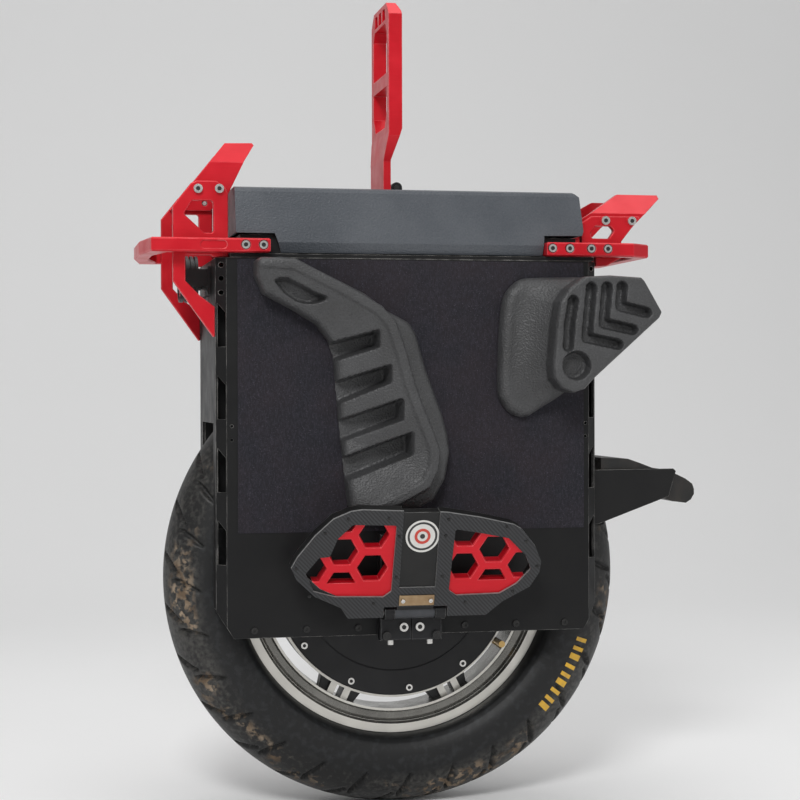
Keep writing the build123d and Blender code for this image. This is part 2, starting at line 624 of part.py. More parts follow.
def pedal_place(side):
    """Plane of the folded pedal: local X forward to back, Y away from the hinge, Z outwards."""
    lean = radians(PEDAL_LEAN)
    plane = Plane(origin=(0, -HINGE_Y, HINGE_Z), x_dir=(1, 0, 0), z_dir=(0, -cos(lean), -sin(lean)))
    return lambda shape: on_side(mirror(plane * shape, about=Plane.XZ), side)


def hex_cells(sign):
    """Honeycomb openings in front of or behind the arm, with bevelled mouths."""
    step = HEX_PITCH * cos(radians(30))
    room = block(-122, 122, HEX_FLOOR, 112, -10, 10)
    cells = []
    for column, heights in enumerate(HEX_COLUMNS):
        for height in heights:
            place = Pos(sign * (HEX_X + column * step), height, 0)
            cell = place * Pos(0, 0, -20) * extrude(RegularPolygon(HEX_R, 6), amount=40)
            mouth = place * Pos(0, 0, 3.9) * extrude(RegularPolygon(HEX_R, 6), amount=1.2, taper=-45)
            cells.append((cell + mouth) & room)
    return cells


def pedal_body(inset):
    """Block of the pedal's outline, less a margin, with room for the hinge."""
    body = Pos(0, 0, -7.5) * extrude(offset(polygon(PEDAL_OUTLINE), amount=-inset), amount=12.4)
    body &= block(-140, 140, 3, 130, -10, 10)
    body -= block(-36, 36, -10, 10.5, -10, 10)
    return body - block(-BAND_HALF - 0.1, BAND_HALF + 0.1, -10, 130, -10, 10)


def pedal_inserts():
    """The honeycomb blocks in front of and behind the arm."""
    solid = pedal_body(EDGE + 0.1)
    for sign in (-1, 1):
        for cell in hex_cells(sign):
            solid -= cell
    return list(solid.solids())


def pedal_plate():
    """Thin underside plate, with two windows and a gap for the arm."""
    plate = xy_prism(PEDAL_OUTLINE, 5.0, PEDAL_FACE)
    for opening in (FRONT_OPENING, REAR_OPENING):
        plate -= xy_prism(opening, 0, 20, 2.5)
    plate -= block(-BAND_HALF - 0.1, BAND_HALF + 0.1, BAND_LOW, 130, 0, 20)
    return plate - block(-34, 34, -20, 9.6, 0, 20)


def pedal_arm():
    """Central arm with its hinge barrel, joined to the black edge round the honeycomb."""
    arm = block(-BAND_HALF, BAND_HALF, 0, 113, -6.0, 4.8)
    arm += rod_x(BARREL_R, -BARREL_HALF, BARREL_HALF)
    arm += block(-BAND_HALF, BAND_HALF, BAND_LOW + 0.1, 113.4, 4.7, 6.0)
    inner = Pos(0, 0, -20) * extrude(offset(polygon(PEDAL_OUTLINE), amount=-EDGE), amount=40)
    arm += pedal_body(0.2) - inner
    arm += block(-21, 21, 106, 112, -6.0, 4.8)
    return arm - rod_x(PEDAL_PIN_R + RUN, -40, 40)


def pedals():
    """Write both pedals and their hinge pins."""
    for name, side in SIDES:
        place = pedal_place(side)
        save(f"pedal_inserts_{name}", [place(solid) for solid in pedal_inserts()])
        save(f"pedal_plate_{name}", place(pedal_plate()))
        save(f"pedal_arm_{name}", place(pedal_arm()))
    pins = [rod_x(PEDAL_PIN_R, -32.5, 32.5, side * HINGE_Y, HINGE_Z) for _, side in SIDES]
    save("pedal_hinge_pins", pins)


# ---------------------------------------------------------------- pads
SHIN_PAD = [(-164, 583), (-160, 586), (-137, 588), (-120, 586), (-101, 576), (-75, 563.5), (-49, 550.6),
            (-26, 533), (-2, 520.5), (5, 510), (17, 469), (33, 426), (39, 403.6), (41, 385), (36, 357),
            (23, 334.5), (7.5, 327), (-61, 326.5), (-66, 330), (-75.6, 421), (-81, 486), (-87, 502.5),
            (-100, 519), (-124, 533.6), (-155, 550), (-163.5, 568)]
HEEL_BASE = [(96, 443), (95.4, 465), (98, 522), (101, 545), (106, 556), (118, 567), (130, 569.6),
             (197, 569.6), (197, 480), (155, 439), (130, 422), (118, 421), (105, 428)]
HEEL_LOBE = [(176.7, 568.1), (203.9, 569.7), (238.1, 567.7), (241.9, 564.1), (260.8, 531.7),
             (258.3, 525.7), (186.3, 461.9), (176.5, 451.1), (164, 446.9), (151.6, 451.1),
             (143, 461.9), (141.7, 476.3), (145.5, 519.1), (149.3, 541.8), (159.2, 556.2)]
PAD_FACE = BODY_HALF + TAPE + 0.3


def pads():
    """Write the shin pads and heel pads."""
    for name, side in SIDES:
        save(f"shin_pad_{name}", on_side(xz_prism(SHIN_PAD, PAD_FACE, 134.0), side))
        base = xz_prism(HEEL_BASE, PAD_FACE, 121.0)
        lobe = xz_prism(HEEL_LOBE, 120.0, 154.0)
        save(f"heel_pad_{name}", on_side(base + lobe, side))


# ---------------------------------------------------------------- rear mudguard
GUARD_CREST = [(222.0, 375.6), (240.0, 375.0), (255.0, 374.0), (270.0, 369.0), (287.0, 362.8),
               (304.0, 360.5)]
GUARD_TAIL = [(301.0, 361.5), (318.5, 354.5), (328.0, 350.5), (337.5, 344.5), (REAR_REACH, 338.5),
              (REAR_REACH, 333.0), (335.5, 327.0), (328.5, 323.5), (309.5, 326.0), (301.0, 329.0)]
GUARD_DEPTH = 27.0
GUARD_PLAN = [(211.0, 64.0), (313.0, 45.0), (REAR_REACH, 33.0)]


def crest_band(drop_top, drop_bottom):
    """Side outline of the mudguard's trough, measured down from its crest."""
    upper = [(x, z - drop_top) for x, z in GUARD_CREST]
    lower = [(x, z - drop_bottom) for x, z in GUARD_CREST]
    return xz_prism(upper + lower[::-1], -70, 70)


def plan_band(inset):
    """Outline of the mudguard seen from above, less a margin."""
    half = [(x, y - inset) for x, y in GUARD_PLAN]
    return xy_prism(half + [(x, -y) for x, y in reversed(half)], 250, 450)


def mudguard():
    """Write the mudguard trough and the folded bracket that holds it."""
    trough = crest_band(0, GUARD_DEPTH) & plan_band(0)
    trough -= crest_band(3, GUARD_DEPTH + 10) & plan_band(3)
    tail = xz_prism(GUARD_TAIL, -70, 70) & plan_band(0)
    save("mudguard_flap", trough + tail)
    plate = xz_prism([(208.3, 303.8), (217.9, 303.8), (292, 328.0), (304.0, 332.0), (313.0, 359.6),
                      (310.0, 362.4), (208.3, 362.7)], -70, 70)
    strip = [(208.3, 68.0), (313.5, 48.4), (313.5, 45.9), (208.3, 65.3)]
    bracket = block(208.3, 210.7, -67, 67, 303.8, 408) - block(200, 220, -60, 60, 300, 397)
    for side in (-1, 1):
        bracket += plate & on_side(xy_prism(strip, 250, 450), side)
    save("mudguard_bracket", bracket)


wheel()
body()
deck()
guards()
headlight()
handle()
pedals()
pads()
mudguard()
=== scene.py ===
"""Looks of an electric unicycle, built around its fixed CAD frame.

The machine stands with -X as the direction of travel and -Y as the rider's left, in metres.
Sizes are written in millimetres where they describe a small part, and turned into metres by mm().
Side outlines are (X, Z) pairs measured from the middle of the axle and from the ground.
"""
import logging
import math
from dataclasses import dataclass
from enum import Enum
from typing import Callable, Sequence

import bmesh
import bpy
import numpy as np
from mathutils import Matrix, Vector
from mathutils.geometry import delaunay_2d_cdt


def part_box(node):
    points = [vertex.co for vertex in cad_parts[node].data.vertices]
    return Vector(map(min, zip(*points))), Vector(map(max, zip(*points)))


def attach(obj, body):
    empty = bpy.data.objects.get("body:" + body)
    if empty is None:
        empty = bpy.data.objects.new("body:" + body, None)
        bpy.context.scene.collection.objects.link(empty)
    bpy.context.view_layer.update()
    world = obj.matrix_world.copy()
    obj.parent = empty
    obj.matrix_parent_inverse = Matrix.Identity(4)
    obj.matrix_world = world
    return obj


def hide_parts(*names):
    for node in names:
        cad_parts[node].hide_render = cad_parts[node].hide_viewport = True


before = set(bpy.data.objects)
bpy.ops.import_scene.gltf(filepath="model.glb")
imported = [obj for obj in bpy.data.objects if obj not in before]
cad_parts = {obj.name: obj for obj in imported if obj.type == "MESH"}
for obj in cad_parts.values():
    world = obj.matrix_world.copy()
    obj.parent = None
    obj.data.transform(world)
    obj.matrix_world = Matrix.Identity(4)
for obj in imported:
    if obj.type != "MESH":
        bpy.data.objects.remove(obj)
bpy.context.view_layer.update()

MILLI = 0.001
LEFT, RIGHT = -1, 1
SIDE_NAMES = {LEFT: "left", RIGHT: "right"}
Colour = tuple[float, float, float]
Outline = Sequence[tuple[float, float]]
log = logging.getLogger("unicycle")


def middle(node: str) -> Vector:
    """Middle of a CAD node's box."""
    low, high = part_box(node)
    return (low + high) / 2


AXLE = middle("axle")


def mm(x: float, y: float, z: float) -> Vector:
    """Point given in millimetres from the axle (X), the middle plane (Y) and the ground (Z).

    Args:
        x: Distance behind the axle.
        y: Distance to the rider's right.
        z: Height.

    Returns:
        The point in the frame, in metres.
    """
    return Vector((AXLE.x + x * MILLI, y * MILLI, z * MILLI))


# ---------------------------------------------------------------- material graphs
class Graph:
    """A material's node tree, written as short expressions."""

    def __init__(self, name: str) -> None:
        """Start an empty tree with a principled surface and Object coordinates.

        Args:
            name: Name of the material.
        """
        self.material = bpy.data.materials.new(name)
        self.material.use_nodes = True
        self.tree = self.material.node_tree
        self.surface = self.tree.nodes["Principled BSDF"]
        self.coords = self.add("ShaderNodeTexCoord").outputs["Object"]

    def add(self, kind: str, **values: object) -> bpy.types.Node:
        """Add a node and set its plain properties.

        Args:
            kind: Type of the node.
            **values: Properties and their values.

        Returns:
            The node.
        """
        node = self.tree.nodes.new(kind)
        for key, value in values.items():
            setattr(node, key, value)
        return node

    def put(self, socket: bpy.types.NodeSocket, value: object) -> None:
        """Link a socket to a socket, or set it to a constant.

        Args:
            socket: The input.
            value: A socket or a constant.
        """
        if isinstance(value, bpy.types.NodeSocket):
            self.tree.links.new(value, socket)
        elif isinstance(value, tuple) and socket.type == "RGBA":
            socket.default_value = (*value, 1.0)
        else:
            socket.default_value = value

    def place(self, scale: Sequence[float] = (1, 1, 1), turn: Sequence[float] = (0, 0, 0),
              move: Sequence[float] = (0, 0, 0)) -> bpy.types.NodeSocket:
        """Object coordinates moved, turned and stretched.

        Args:
            scale: Stretch along each axis.
            turn: Rotation about each axis, in radians.
            move: Offset along each axis, in metres.

        Returns:
            The coordinates.
        """
        node = self.add("ShaderNodeMapping")
        self.put(node.inputs["Vector"], self.coords)
        node.inputs["Scale"].default_value = scale
        node.inputs["Rotation"].default_value = turn
        node.inputs["Location"].default_value = move
        return node.outputs["Vector"]

    def noise(self, size: float, detail: float = 4.0, at: object = None) -> bpy.types.NodeSocket:
        """Noise whose features are about size metres across.

        Args:
            size: Size of the features, in metres.
            detail: Levels of detail.
            at: Coordinates, or None for Object ones.

        Returns:
            Value of the noise.
        """
        node = self.add("ShaderNodeTexNoise")
        self.put(node.inputs["Vector"], at or self.coords)
        node.inputs["Scale"].default_value = 1.0 / size
        node.inputs["Detail"].default_value = detail
        return node.outputs["Fac"]

    def cells(self, size: float, at: object = None) -> bpy.types.NodeSocket:
        """Distance within random cells of about size metres.

        Args:
            size: Size of the cells, in metres.
            at: Coordinates, or None for Object ones.

        Returns:
            The distance.
        """
        node = self.add("ShaderNodeTexVoronoi", feature="SMOOTH_F1")
        self.put(node.inputs["Vector"], at or self.coords)
        node.inputs["Scale"].default_value = 1.0 / size
        return node.outputs["Distance"]

    def math(self, operation: str, a: object, b: object = 0.5) -> bpy.types.NodeSocket:
        """One arithmetic step.

        Args:
            operation: Name of the step.
            a: First value.
            b: Second value.

        Returns:
            The result.
        """
        node = self.add("ShaderNodeMath", operation=operation)
        self.put(node.inputs[0], a)
        self.put(node.inputs[1], b)
        return node.outputs[0]

    def spread(self, value: object, low: float, high: float, to_low: float = 0.0,
               to_high: float = 1.0) -> bpy.types.NodeSocket:
        """Map low..high to to_low..to_high, held at both ends.

        Args:
            value: Value to map.
            low: Start of its range.
            high: End of its range.
            to_low: Result at low.
            to_high: Result at high.

        Returns:
            The result.
        """
        node = self.add("ShaderNodeMapRange")
        self.put(node.inputs["Value"], value)
        for key, number in (("From Min", low), ("From Max", high), ("To Min", to_low),
                            ("To Max", to_high)):
            node.inputs[key].default_value = number
        return node.outputs["Result"]

    def mix(self, amount: object, a: object, b: object) -> bpy.types.NodeSocket:
        """Colour between a and b.

        Args:
            amount: Share of b.
            a: First colour.
            b: Second colour.

        Returns:
            The colour.
        """
        node = self.add("ShaderNodeMix", data_type="RGBA")
        self.put(node.inputs[0], amount)
        self.put(node.inputs[6], a)
        self.put(node.inputs[7], b)
        return node.outputs[2]

    def bump(self, height: object, depth: float, under: object = None) -> bpy.types.NodeSocket:
        """Normal tilted by a height of depth metres.

        Args:
            height: Height, from 0 to 1.
            depth: Depth of a height of 1, in metres.
            under: Normal beneath it, if any.

        Returns:
            The normal.
        """
        node = self.add("ShaderNodeBump")
        node.inputs["Strength"].default_value = 1.0
        node.inputs["Distance"].default_value = depth
        self.put(node.inputs["Height"], height)
        if under is not None:
            self.put(node.inputs["Normal"], under)
        return node.outputs["Normal"]

    def edge(self, size: float) -> tuple[bpy.types.NodeSocket, bpy.types.NodeSocket]:
        """Edges rounded by size metres.

        Args:
            size: Radius of the edges, in metres.

        Returns:
            The rounded normal, and how near a point is to an edge, from 0 to 1.
        """
        soft = self.add("ShaderNodeBevel", samples=6)
        soft.inputs["Radius"].default_value = size
        true = self.add("ShaderNodeNewGeometry").outputs["Normal"]
        agree = self.add("ShaderNodeVectorMath", operation="DOT_PRODUCT")
        self.put(agree.inputs[0], soft.outputs["Normal"])
        self.put(agree.inputs[1], true)
        return soft.outputs["Normal"], self.spread(agree.outputs["Value"], 0.995, 0.88)

    def radius(self) -> bpy.types.NodeSocket:
        """Distance from the axle's line, in metres.

        Returns:
            The distance.
        """
        flat = self.place(scale=(1, 0, 1), move=(-AXLE.x, 0, -AXLE.z))
        node = self.add("ShaderNodeVectorMath", operation="LENGTH")
        self.put(node.inputs[0], flat)
        return node.outputs["Value"]

    def finish(self, colour: object, roughness: object, normal: object = None,
               **constants: float) -> bpy.types.Material:
        """Connect the surface.

        Args:
            colour: Base colour, a socket or a constant.
            roughness: Roughness, a socket or a constant.
            normal: Normal socket, if the surface has relief.
            **constants: Other principled inputs, with underscores for spaces.

        Returns:
            The finished material.
        """
        self.put(self.surface.inputs["Base Color"], colour)
        self.put(self.surface.inputs["Roughness"], roughness)
        if normal is not None:
            self.put(self.surface.inputs["Normal"], normal)
        for key, value in constants.items():
            self.surface.inputs[key.replace("_", " ")].default_value = value
        return self.material


class Grain(Enum):
    """The kind of fine relief that a surface has."""

    POWDER = "powder"        # sprayed coat
    LEATHER = "leather"      # moulded skin
    BRUSHED = "brushed"      # drawn along X
    TURNED = "turned"        # rings about the axle


@dataclass(frozen=True)
class Finish:
    """A surface with slow colour variation and a fine grain."""

    name: str
    colour: Colour
    worn: Colour
    rough: float = 0.5
    metal: float = 0.0
    coat: float = 0.0
    grain: Grain = Grain.POWDER
    size: float = 0.0007
    depth: float = 0.00008
    patch: float = 0.06
    worn_share: float = 0.5
    gloss: float = 0.5               # specular level
    edge: Colour = (0.4, 0.4, 0.4)   # colour along the edges: bare metal where rubbed, and a painted highlight on the bevels
    edge_size: float = 0.0           # width of the rounded edges, 0 for none

    def fine(self, graph: Graph) -> bpy.types.NodeSocket:
        """Height of the fine grain, from 0 to 1.

        Args:
            graph: The material's graph.

        Returns:
            The height.
        """
        if self.grain is Grain.LEATHER:
            return graph.math("MULTIPLY", graph.cells(self.size), 1.7)
        if self.grain is Grain.BRUSHED:
            return graph.noise(self.size, 3.0, graph.place(scale=(0.04, 1, 1)))
        if self.grain is Grain.TURNED:
            rings = graph.add("ShaderNodeCombineXYZ")
            graph.put(rings.inputs["X"], graph.radius())
            return graph.noise(self.size, 2.0, rings.outputs["Vector"])
        return graph.noise(self.size, 3.0)

    def build(self) -> bpy.types.Material:
        """Make the node material.

        Returns:
            The material.
        """
        graph = Graph(self.name)
        fine = self.fine(graph)
        patch = graph.spread(graph.noise(self.patch, 6.0), 0.35, 0.72)
        share = graph.math("MULTIPLY", patch, self.worn_share)
        share = graph.math("ADD", share, graph.spread(fine, 0.3, 0.9, -0.12, 0.16))
        colour = graph.mix(share, self.colour, self.worn)
        rough = graph.spread(graph.noise(self.patch * 0.4, 5.0), 0.3, 0.7, self.rough - 0.07,
                             self.rough + 0.07)
        soft = None
        if self.edge_size:
            soft, near = graph.edge(self.edge_size)
            # Along the rounded edges the colour turns towards the edge colour: partly wear rubbed bare, partly
            # a painted highlight standing for light caught by the bevels.
            edge_wear_and_highlight = graph.math("MULTIPLY", near,
                              graph.spread(graph.noise(0.012, 8.0), 0.38, 0.58, 0.15, 0.9))
            colour = graph.mix(edge_wear_and_highlight, colour, self.edge)
        return graph.finish(colour, rough, graph.bump(fine, self.depth, soft), Metallic=self.metal,
                            Coat_Weight=self.coat, Coat_Roughness=0.12,
                            Specular_IOR_Level=self.gloss)


@dataclass(frozen=True)
class TyreRubber:
    """Rubber with a dusty tread, and dried mud along the shoulders."""

    name: str = "tyre_rubber"
    tread_radius: float = 0.214

    def build(self) -> bpy.types.Material:
        """Make the node material.

        Returns:
            The material.
        """
        graph = Graph(self.name)
        radius = graph.radius()
        tread = graph.spread(radius, self.tread_radius - 0.004, self.tread_radius + 0.008)
        scuff = graph.spread(graph.noise(0.008, 12.0), 0.50, 0.72)
        wall = graph.mix(scuff, (0.0055, 0.0058, 0.0062), (0.017, 0.0185, 0.0205))
        worn = graph.spread(graph.math("ADD", graph.noise(0.16, 5.0), graph.noise(0.005, 6.0)),
                            0.92, 1.20)
        crown = graph.mix(worn, (0.0085, 0.0085, 0.0085), (0.050, 0.048, 0.044))
        base = graph.mix(tread, wall, crown)
        shoulder = graph.math("MULTIPLY", graph.spread(radius, 0.219, 0.227),
                              graph.spread(radius, 0.2475, 0.241))
        dirt = graph.spread(graph.noise(0.060, 12.0), 0.52, 0.60)
        crumbs = graph.spread(graph.noise(0.0080, 12.0), 0.47, 0.56)
        mud = graph.math("MULTIPLY", graph.math("MULTIPLY", shoulder, dirt), crumbs)
        clay = graph.mix(graph.spread(graph.noise(0.02, 6.0), 0.4, 0.65), (0.13, 0.090, 0.058),
                         (0.34, 0.265, 0.190))
        colour = graph.mix(mud, base, clay)
        grain = graph.math("ADD", graph.noise(0.0012, 3.0), graph.math("MULTIPLY", mud, 2.5))
        return graph.finish(colour, graph.spread(mud, 0.0, 1.0, 0.50, 0.95),
                            graph.bump(grain, 0.00020),
                            Specular_IOR_Level=0.4)


@dataclass(frozen=True)
class GripTape:
    """Gritty sheet with a faint drawn texture and bright specks."""

    name: str = "grip_tape"

    def build(self) -> bpy.types.Material:
        """Make the node material.

        Returns:
            The material.
        """
        graph = Graph(self.name)
        grit = graph.noise(0.0010, 4.0)
        drawn = graph.noise(0.0013, 5.0, graph.place(scale=(1, 1, 0.35)))
        tint = graph.mix(graph.spread(graph.noise(0.06, 3.0), 0.35, 0.65), (0.0065, 0.0065, 0.011),
                         (0.013, 0.009, 0.013))
        colour = graph.mix(graph.spread(drawn, 0.45, 0.72, 0.0, 0.6), tint, (0.026, 0.024, 0.035))
        colour = graph.mix(graph.spread(grit, 0.62, 0.74, 0.0, 0.6), colour, (0.12, 0.11, 0.15))
        height = graph.math("ADD", grit, drawn)
        return graph.finish(colour, 0.88, graph.bump(height, 0.00035))


@dataclass(frozen=True)
class CarbonTwill:
    """Lacquered twill: threads that pass over two and under two."""

    name: str = "carbon_twill"
    thread: float = 0.00105

    def build(self) -> bpy.types.Material:
        """Make the node material.

        Returns:
            The material.
        """
        graph = Graph(self.name)
        parts = graph.add("ShaderNodeSeparateXYZ")
        graph.put(parts.inputs["Vector"], graph.place(scale=(1 / self.thread,) * 3))
        across, up = parts.outputs["X"], parts.outputs["Z"]
        # Over-threads and the middle of each thread are drawn lighter: painted sheen standing for light
        # reflected by the black fibres.
        steps = graph.math("ADD", graph.math("FLOOR", across), graph.math("FLOOR", up))
        over = graph.math("LESS_THAN", graph.math("FLOORED_MODULO", steps, 4.0), 2.0)
        crown = graph.math("SINE", graph.math("MULTIPLY", graph.math("FRACT", across), math.pi))
        shade = graph.math("ADD", graph.math("MULTIPLY", over, 0.8),
                           graph.math("MULTIPLY", crown, 0.2))
        colour = graph.mix(shade, (0.006, 0.006, 0.007), (0.030, 0.031, 0.034))
        colour = graph.mix(graph.spread(graph.noise(0.03), 0.45, 0.7, 0.0, 0.35), colour,
                           (0.016, 0.016, 0.016))
        return graph.finish(colour, graph.spread(shade, 0, 1, 0.42, 0.30),
                            graph.bump(shade, 0.00008),
                            Coat_Weight=0.25, Coat_Roughness=0.2, Specular_IOR_Level=0.35)


@dataclass(frozen=True)
class Lens:
    """Clear moulded cover with fine flutes over a bright cup."""

    name: str = "lamp_lens"

    def build(self) -> bpy.types.Material:
        """Make the node material.

        Returns:
            The material.
        """
        graph = Graph(self.name)
        flutes = graph.add("ShaderNodeTexWave", bands_direction="Z")
        graph.put(flutes.inputs["Vector"], graph.coords)
        flutes.inputs["Scale"].default_value = 90.0
        colour = graph.mix(graph.noise(0.006), (0.72, 0.76, 0.80), (0.90, 0.93, 0.96))
        return graph.finish(colour, 0.08, graph.bump(flutes.outputs["Fac"], 0.0008),
                            Coat_Weight=1.0,
                            Transmission_Weight=0.35)


@dataclass(frozen=True)
class Windings:
    """Enamelled copper wire wound about the stator's teeth."""

    name: str = "copper_windings"

    def build(self) -> bpy.types.Material:
        """Make the node material.

        Returns:
            The material.
        """
        graph = Graph(self.name)
        wires = graph.noise(0.0012, 2.0, graph.place(scale=(1, 0.1, 1)))
        colour = graph.mix(wires, (0.50, 0.17, 0.06), (0.85, 0.42, 0.20))
        return graph.finish(colour, 0.35, graph.bump(wires, 0.0004), Metallic=0.9)


# The red finish's edge colour (0.92, 0.20, 0.22) is a painted highlight: bright pinkish lines where light
# catches the bevelled edges.
RED = Finish("red_anodised", (0.56, 0.003, 0.012), (0.70, 0.007, 0.022), 0.38, 0.35, 0.1,
             Grain.BRUSHED, 0.0010,
             0.00003, 0.05, 0.6, 0.4, (0.92, 0.20, 0.22), 0.0011)
# The light edge colours of the black coats below are partly wear rubbed bare and partly a painted highlight
# along the bevels.
BODY_COAT = Finish("body_powder_coat", (0.0055, 0.0055, 0.006), (0.011, 0.011, 0.0105), 0.46,
                   depth=0.00006,
                   gloss=0.25, edge=(0.42, 0.41, 0.39), edge_size=0.0007)
HANGER_COAT = Finish("hanger_anodised", (0.008, 0.008, 0.009), (0.017, 0.018, 0.019), 0.40, 0.2,
                     patch=0.02,
                     gloss=0.35, edge=(0.22, 0.22, 0.22), edge_size=0.0008)
PEDAL_COAT = Finish("pedal_arm_coat", (0.007, 0.007, 0.007), (0.015, 0.0145, 0.014), 0.42,
                    patch=0.03,
                    gloss=0.35, edge=(0.30, 0.30, 0.29), edge_size=0.0008)
MOTOR_COAT = Finish("motor_paint", (0.007, 0.007, 0.008), (0.015, 0.015, 0.016), 0.40, patch=0.05,
                    gloss=0.35)
COVER_SKIN = Finish("top_cover_skin", (0.060, 0.068, 0.080), (0.110, 0.119, 0.132), 0.46,
                    grain=Grain.LEATHER,
                    size=0.0017, depth=0.00025)
PAD_FOAM = Finish("pad_foam", (0.036, 0.036, 0.037), (0.072, 0.073, 0.076), 0.50,
                  grain=Grain.LEATHER,
                  size=0.0017, depth=0.0004, patch=0.05)
FENDER = Finish("mudguard_plastic", (0.010, 0.010, 0.010), (0.052, 0.040, 0.030), 0.50, patch=0.02,
                gloss=0.4)
LAMP_SHELL = Finish("lamp_plastic", (0.012, 0.012, 0.013), (0.024, 0.024, 0.025), 0.45)
ALLOY = Finish("rim_alloy", (0.60, 0.585, 0.54), (0.74, 0.72, 0.67), 0.36, 0.85, grain=Grain.TURNED,
               size=0.0006,
               depth=0.00004, patch=0.04)
RIM_DARK = Finish("rim_dark_ring", (0.20, 0.195, 0.18), (0.42, 0.41, 0.38), 0.27, 0.85,
                  grain=Grain.TURNED,
                  size=0.0012, depth=0.00002, patch=0.05)
WEB_BLACK = Finish("spoke_web_black", (0.010, 0.010, 0.010), (0.02, 0.02, 0.02), 0.45, patch=0.02)
BARREL_GREY = Finish("hinge_barrel_grey", (0.045, 0.048, 0.054), (0.08, 0.083, 0.09), 0.42, 0.3,
                     patch=0.01)
CUT_EDGE = Finish("cut_carbon_edge", (0.20, 0.20, 0.20), (0.42, 0.42, 0.41), 0.5, 0.1, size=0.0009,
                  depth=0.0002,
                  patch=0.004)
# Lighter colour for the side plates' lower edge: partly bare metal worn along the edge, partly a painted
# highlight where the sheet's edge catches light.
SHEET_EDGE_WEAR_AND_HIGHLIGHT = Finish("sheet_edge_wear_and_highlight", (0.09, 0.09, 0.088), (0.40, 0.39, 0.37), 0.45, 0.5,
                   size=0.001, patch=0.012)
STEEL = Finish("turned_steel", (0.50, 0.50, 0.49), (0.66, 0.65, 0.63), 0.32, 0.95, patch=0.02)
STAINLESS = Finish("stainless_screw", (0.62, 0.61, 0.59), (0.80, 0.79, 0.76), 0.26, 0.95,
                   size=0.0004, patch=0.01)
BLACK_SCREW = Finish("black_oxide_screw", (0.022, 0.022, 0.022), (0.07, 0.068, 0.064), 0.38, 0.6,
                     patch=0.01)
# Painted shade: near-black colour standing for the shadow inside the screws' hexagon sockets.
SOCKET_SHADE_PAINT = Finish("socket_shadow", (0.006, 0.006, 0.006), (0.02, 0.02, 0.02), 0.6, patch=0.01)
BRASS = Finish("valve_brass", (0.62, 0.42, 0.16), (0.42, 0.27, 0.12), 0.34, 0.9, patch=0.006)
BRONZE = Finish("nameplate_bronze", (0.30, 0.20, 0.11), (0.50, 0.37, 0.22), 0.38, 0.85,
                grain=Grain.BRUSHED,
                size=0.0006, patch=0.01)
MAGNET = Finish("nickel_magnet", (0.45, 0.45, 0.46), (0.56, 0.56, 0.57), 0.3, 0.9)
IRON = Finish("stator_iron", (0.20, 0.20, 0.21), (0.30, 0.29, 0.28), 0.5, 0.8)
WRAP = Finish("battery_wrap", (0.010, 0.011, 0.014), (0.018, 0.020, 0.025), 0.45, gloss=0.3)
EXTRUSION = Finish("heat_sink_alloy", (0.55, 0.55, 0.56), (0.66, 0.66, 0.67), 0.4, 0.9,
                   grain=Grain.BRUSHED)
BOARD = Finish("circuit_lacquer", (0.010, 0.10, 0.035), (0.02, 0.16, 0.06), 0.35, coat=0.3,
               patch=0.01)
BUTTON = Finish("button_gloss", (0.02, 0.02, 0.022), (0.03, 0.03, 0.032), 0.25, coat=0.4)
BADGE_WHITE = Finish("badge_white", (0.62, 0.61, 0.58), (0.74, 0.73, 0.70), 0.35, coat=0.3,
                     patch=0.01)
BADGE_BLACK = Finish("badge_black", (0.012, 0.012, 0.012), (0.03, 0.03, 0.03), 0.35, coat=0.3,
                     patch=0.01)
BADGE_RED = Finish("badge_red", (0.50, 0.035, 0.02), (0.62, 0.06, 0.03), 0.35, coat=0.3, patch=0.01)
WALL_PAINT = Finish("sidewall_paint", (0.72, 0.42, 0.03), (0.45, 0.27, 0.06), 0.6, patch=0.008,
                    worn_share=0.8)
FLOOR_PAPER = Finish("floor_paper", (0.90, 0.90, 0.90), (0.93, 0.93, 0.93), 0.9, depth=0.00002,
                     patch=0.8)
TYRE_RUBBER, TAPE, TWILL, LENS, COPPER = TyreRubber(), GripTape(), CarbonTwill(), Lens(), Windings()
DRESS: dict[object, str] = {
    BODY_COAT: "side_plate_left side_plate_right front_cover rear_cover wheel_arch deck_plate mudguard_bracket",
    HANGER_COAT: "pedal_hanger_left pedal_hanger_right handle_bracket",
    PEDAL_COAT: "pedal_arm_left pedal_arm_right",
    MOTOR_COAT: "motor_shell motor_cover_left motor_cover_right",
    TAPE: "grip_tape_left grip_tape_right",
    RED: "front_bumper rear_bumper handle_frame front_guard_left front_guard_right rear_guard_left "
         "rear_guard_right front_fin_left front_fin_right rear_fin_left rear_fin_right "
         "pedal_inserts_left pedal_inserts_right",
    TWILL: "pedal_plate_left pedal_plate_right",
    ALLOY: "rim", TYRE_RUBBER: "tyre", BRASS: "valve_stem", COVER_SKIN: "top_cover",
    BUTTON: "power_button",
    FENDER: "mudguard_flap", LAMP_SHELL: "headlight_housing headlight_bracket",
    LENS: "headlight_lens",
    STEEL: "axle wheel_bearings pedal_hinge_pins", IRON: "stator_core", COPPER: "stator_coils",
    MAGNET: "rotor_magnets", STAINLESS: "motor_cover_screws hanger_bolts guard_screws",
    BLACK_SCREW: "body_screws handle_pin", WRAP: "battery_left battery_right",
    EXTRUSION: "heat_sink",
    BOARD: "controller", PAD_FOAM: "shin_pad_left shin_pad_right heel_pad_left heel_pad_right",
}
MADE: dict[object, bpy.types.Material] = {}


def material(finish: object) -> bpy.types.Material:
    """The finish's material, made once.

    Args:
        finish: One of the finishes.

    Returns:
        Its material.
    """
    if finish not in MADE:
        MADE[finish] = finish.build()
    return MADE[finish]


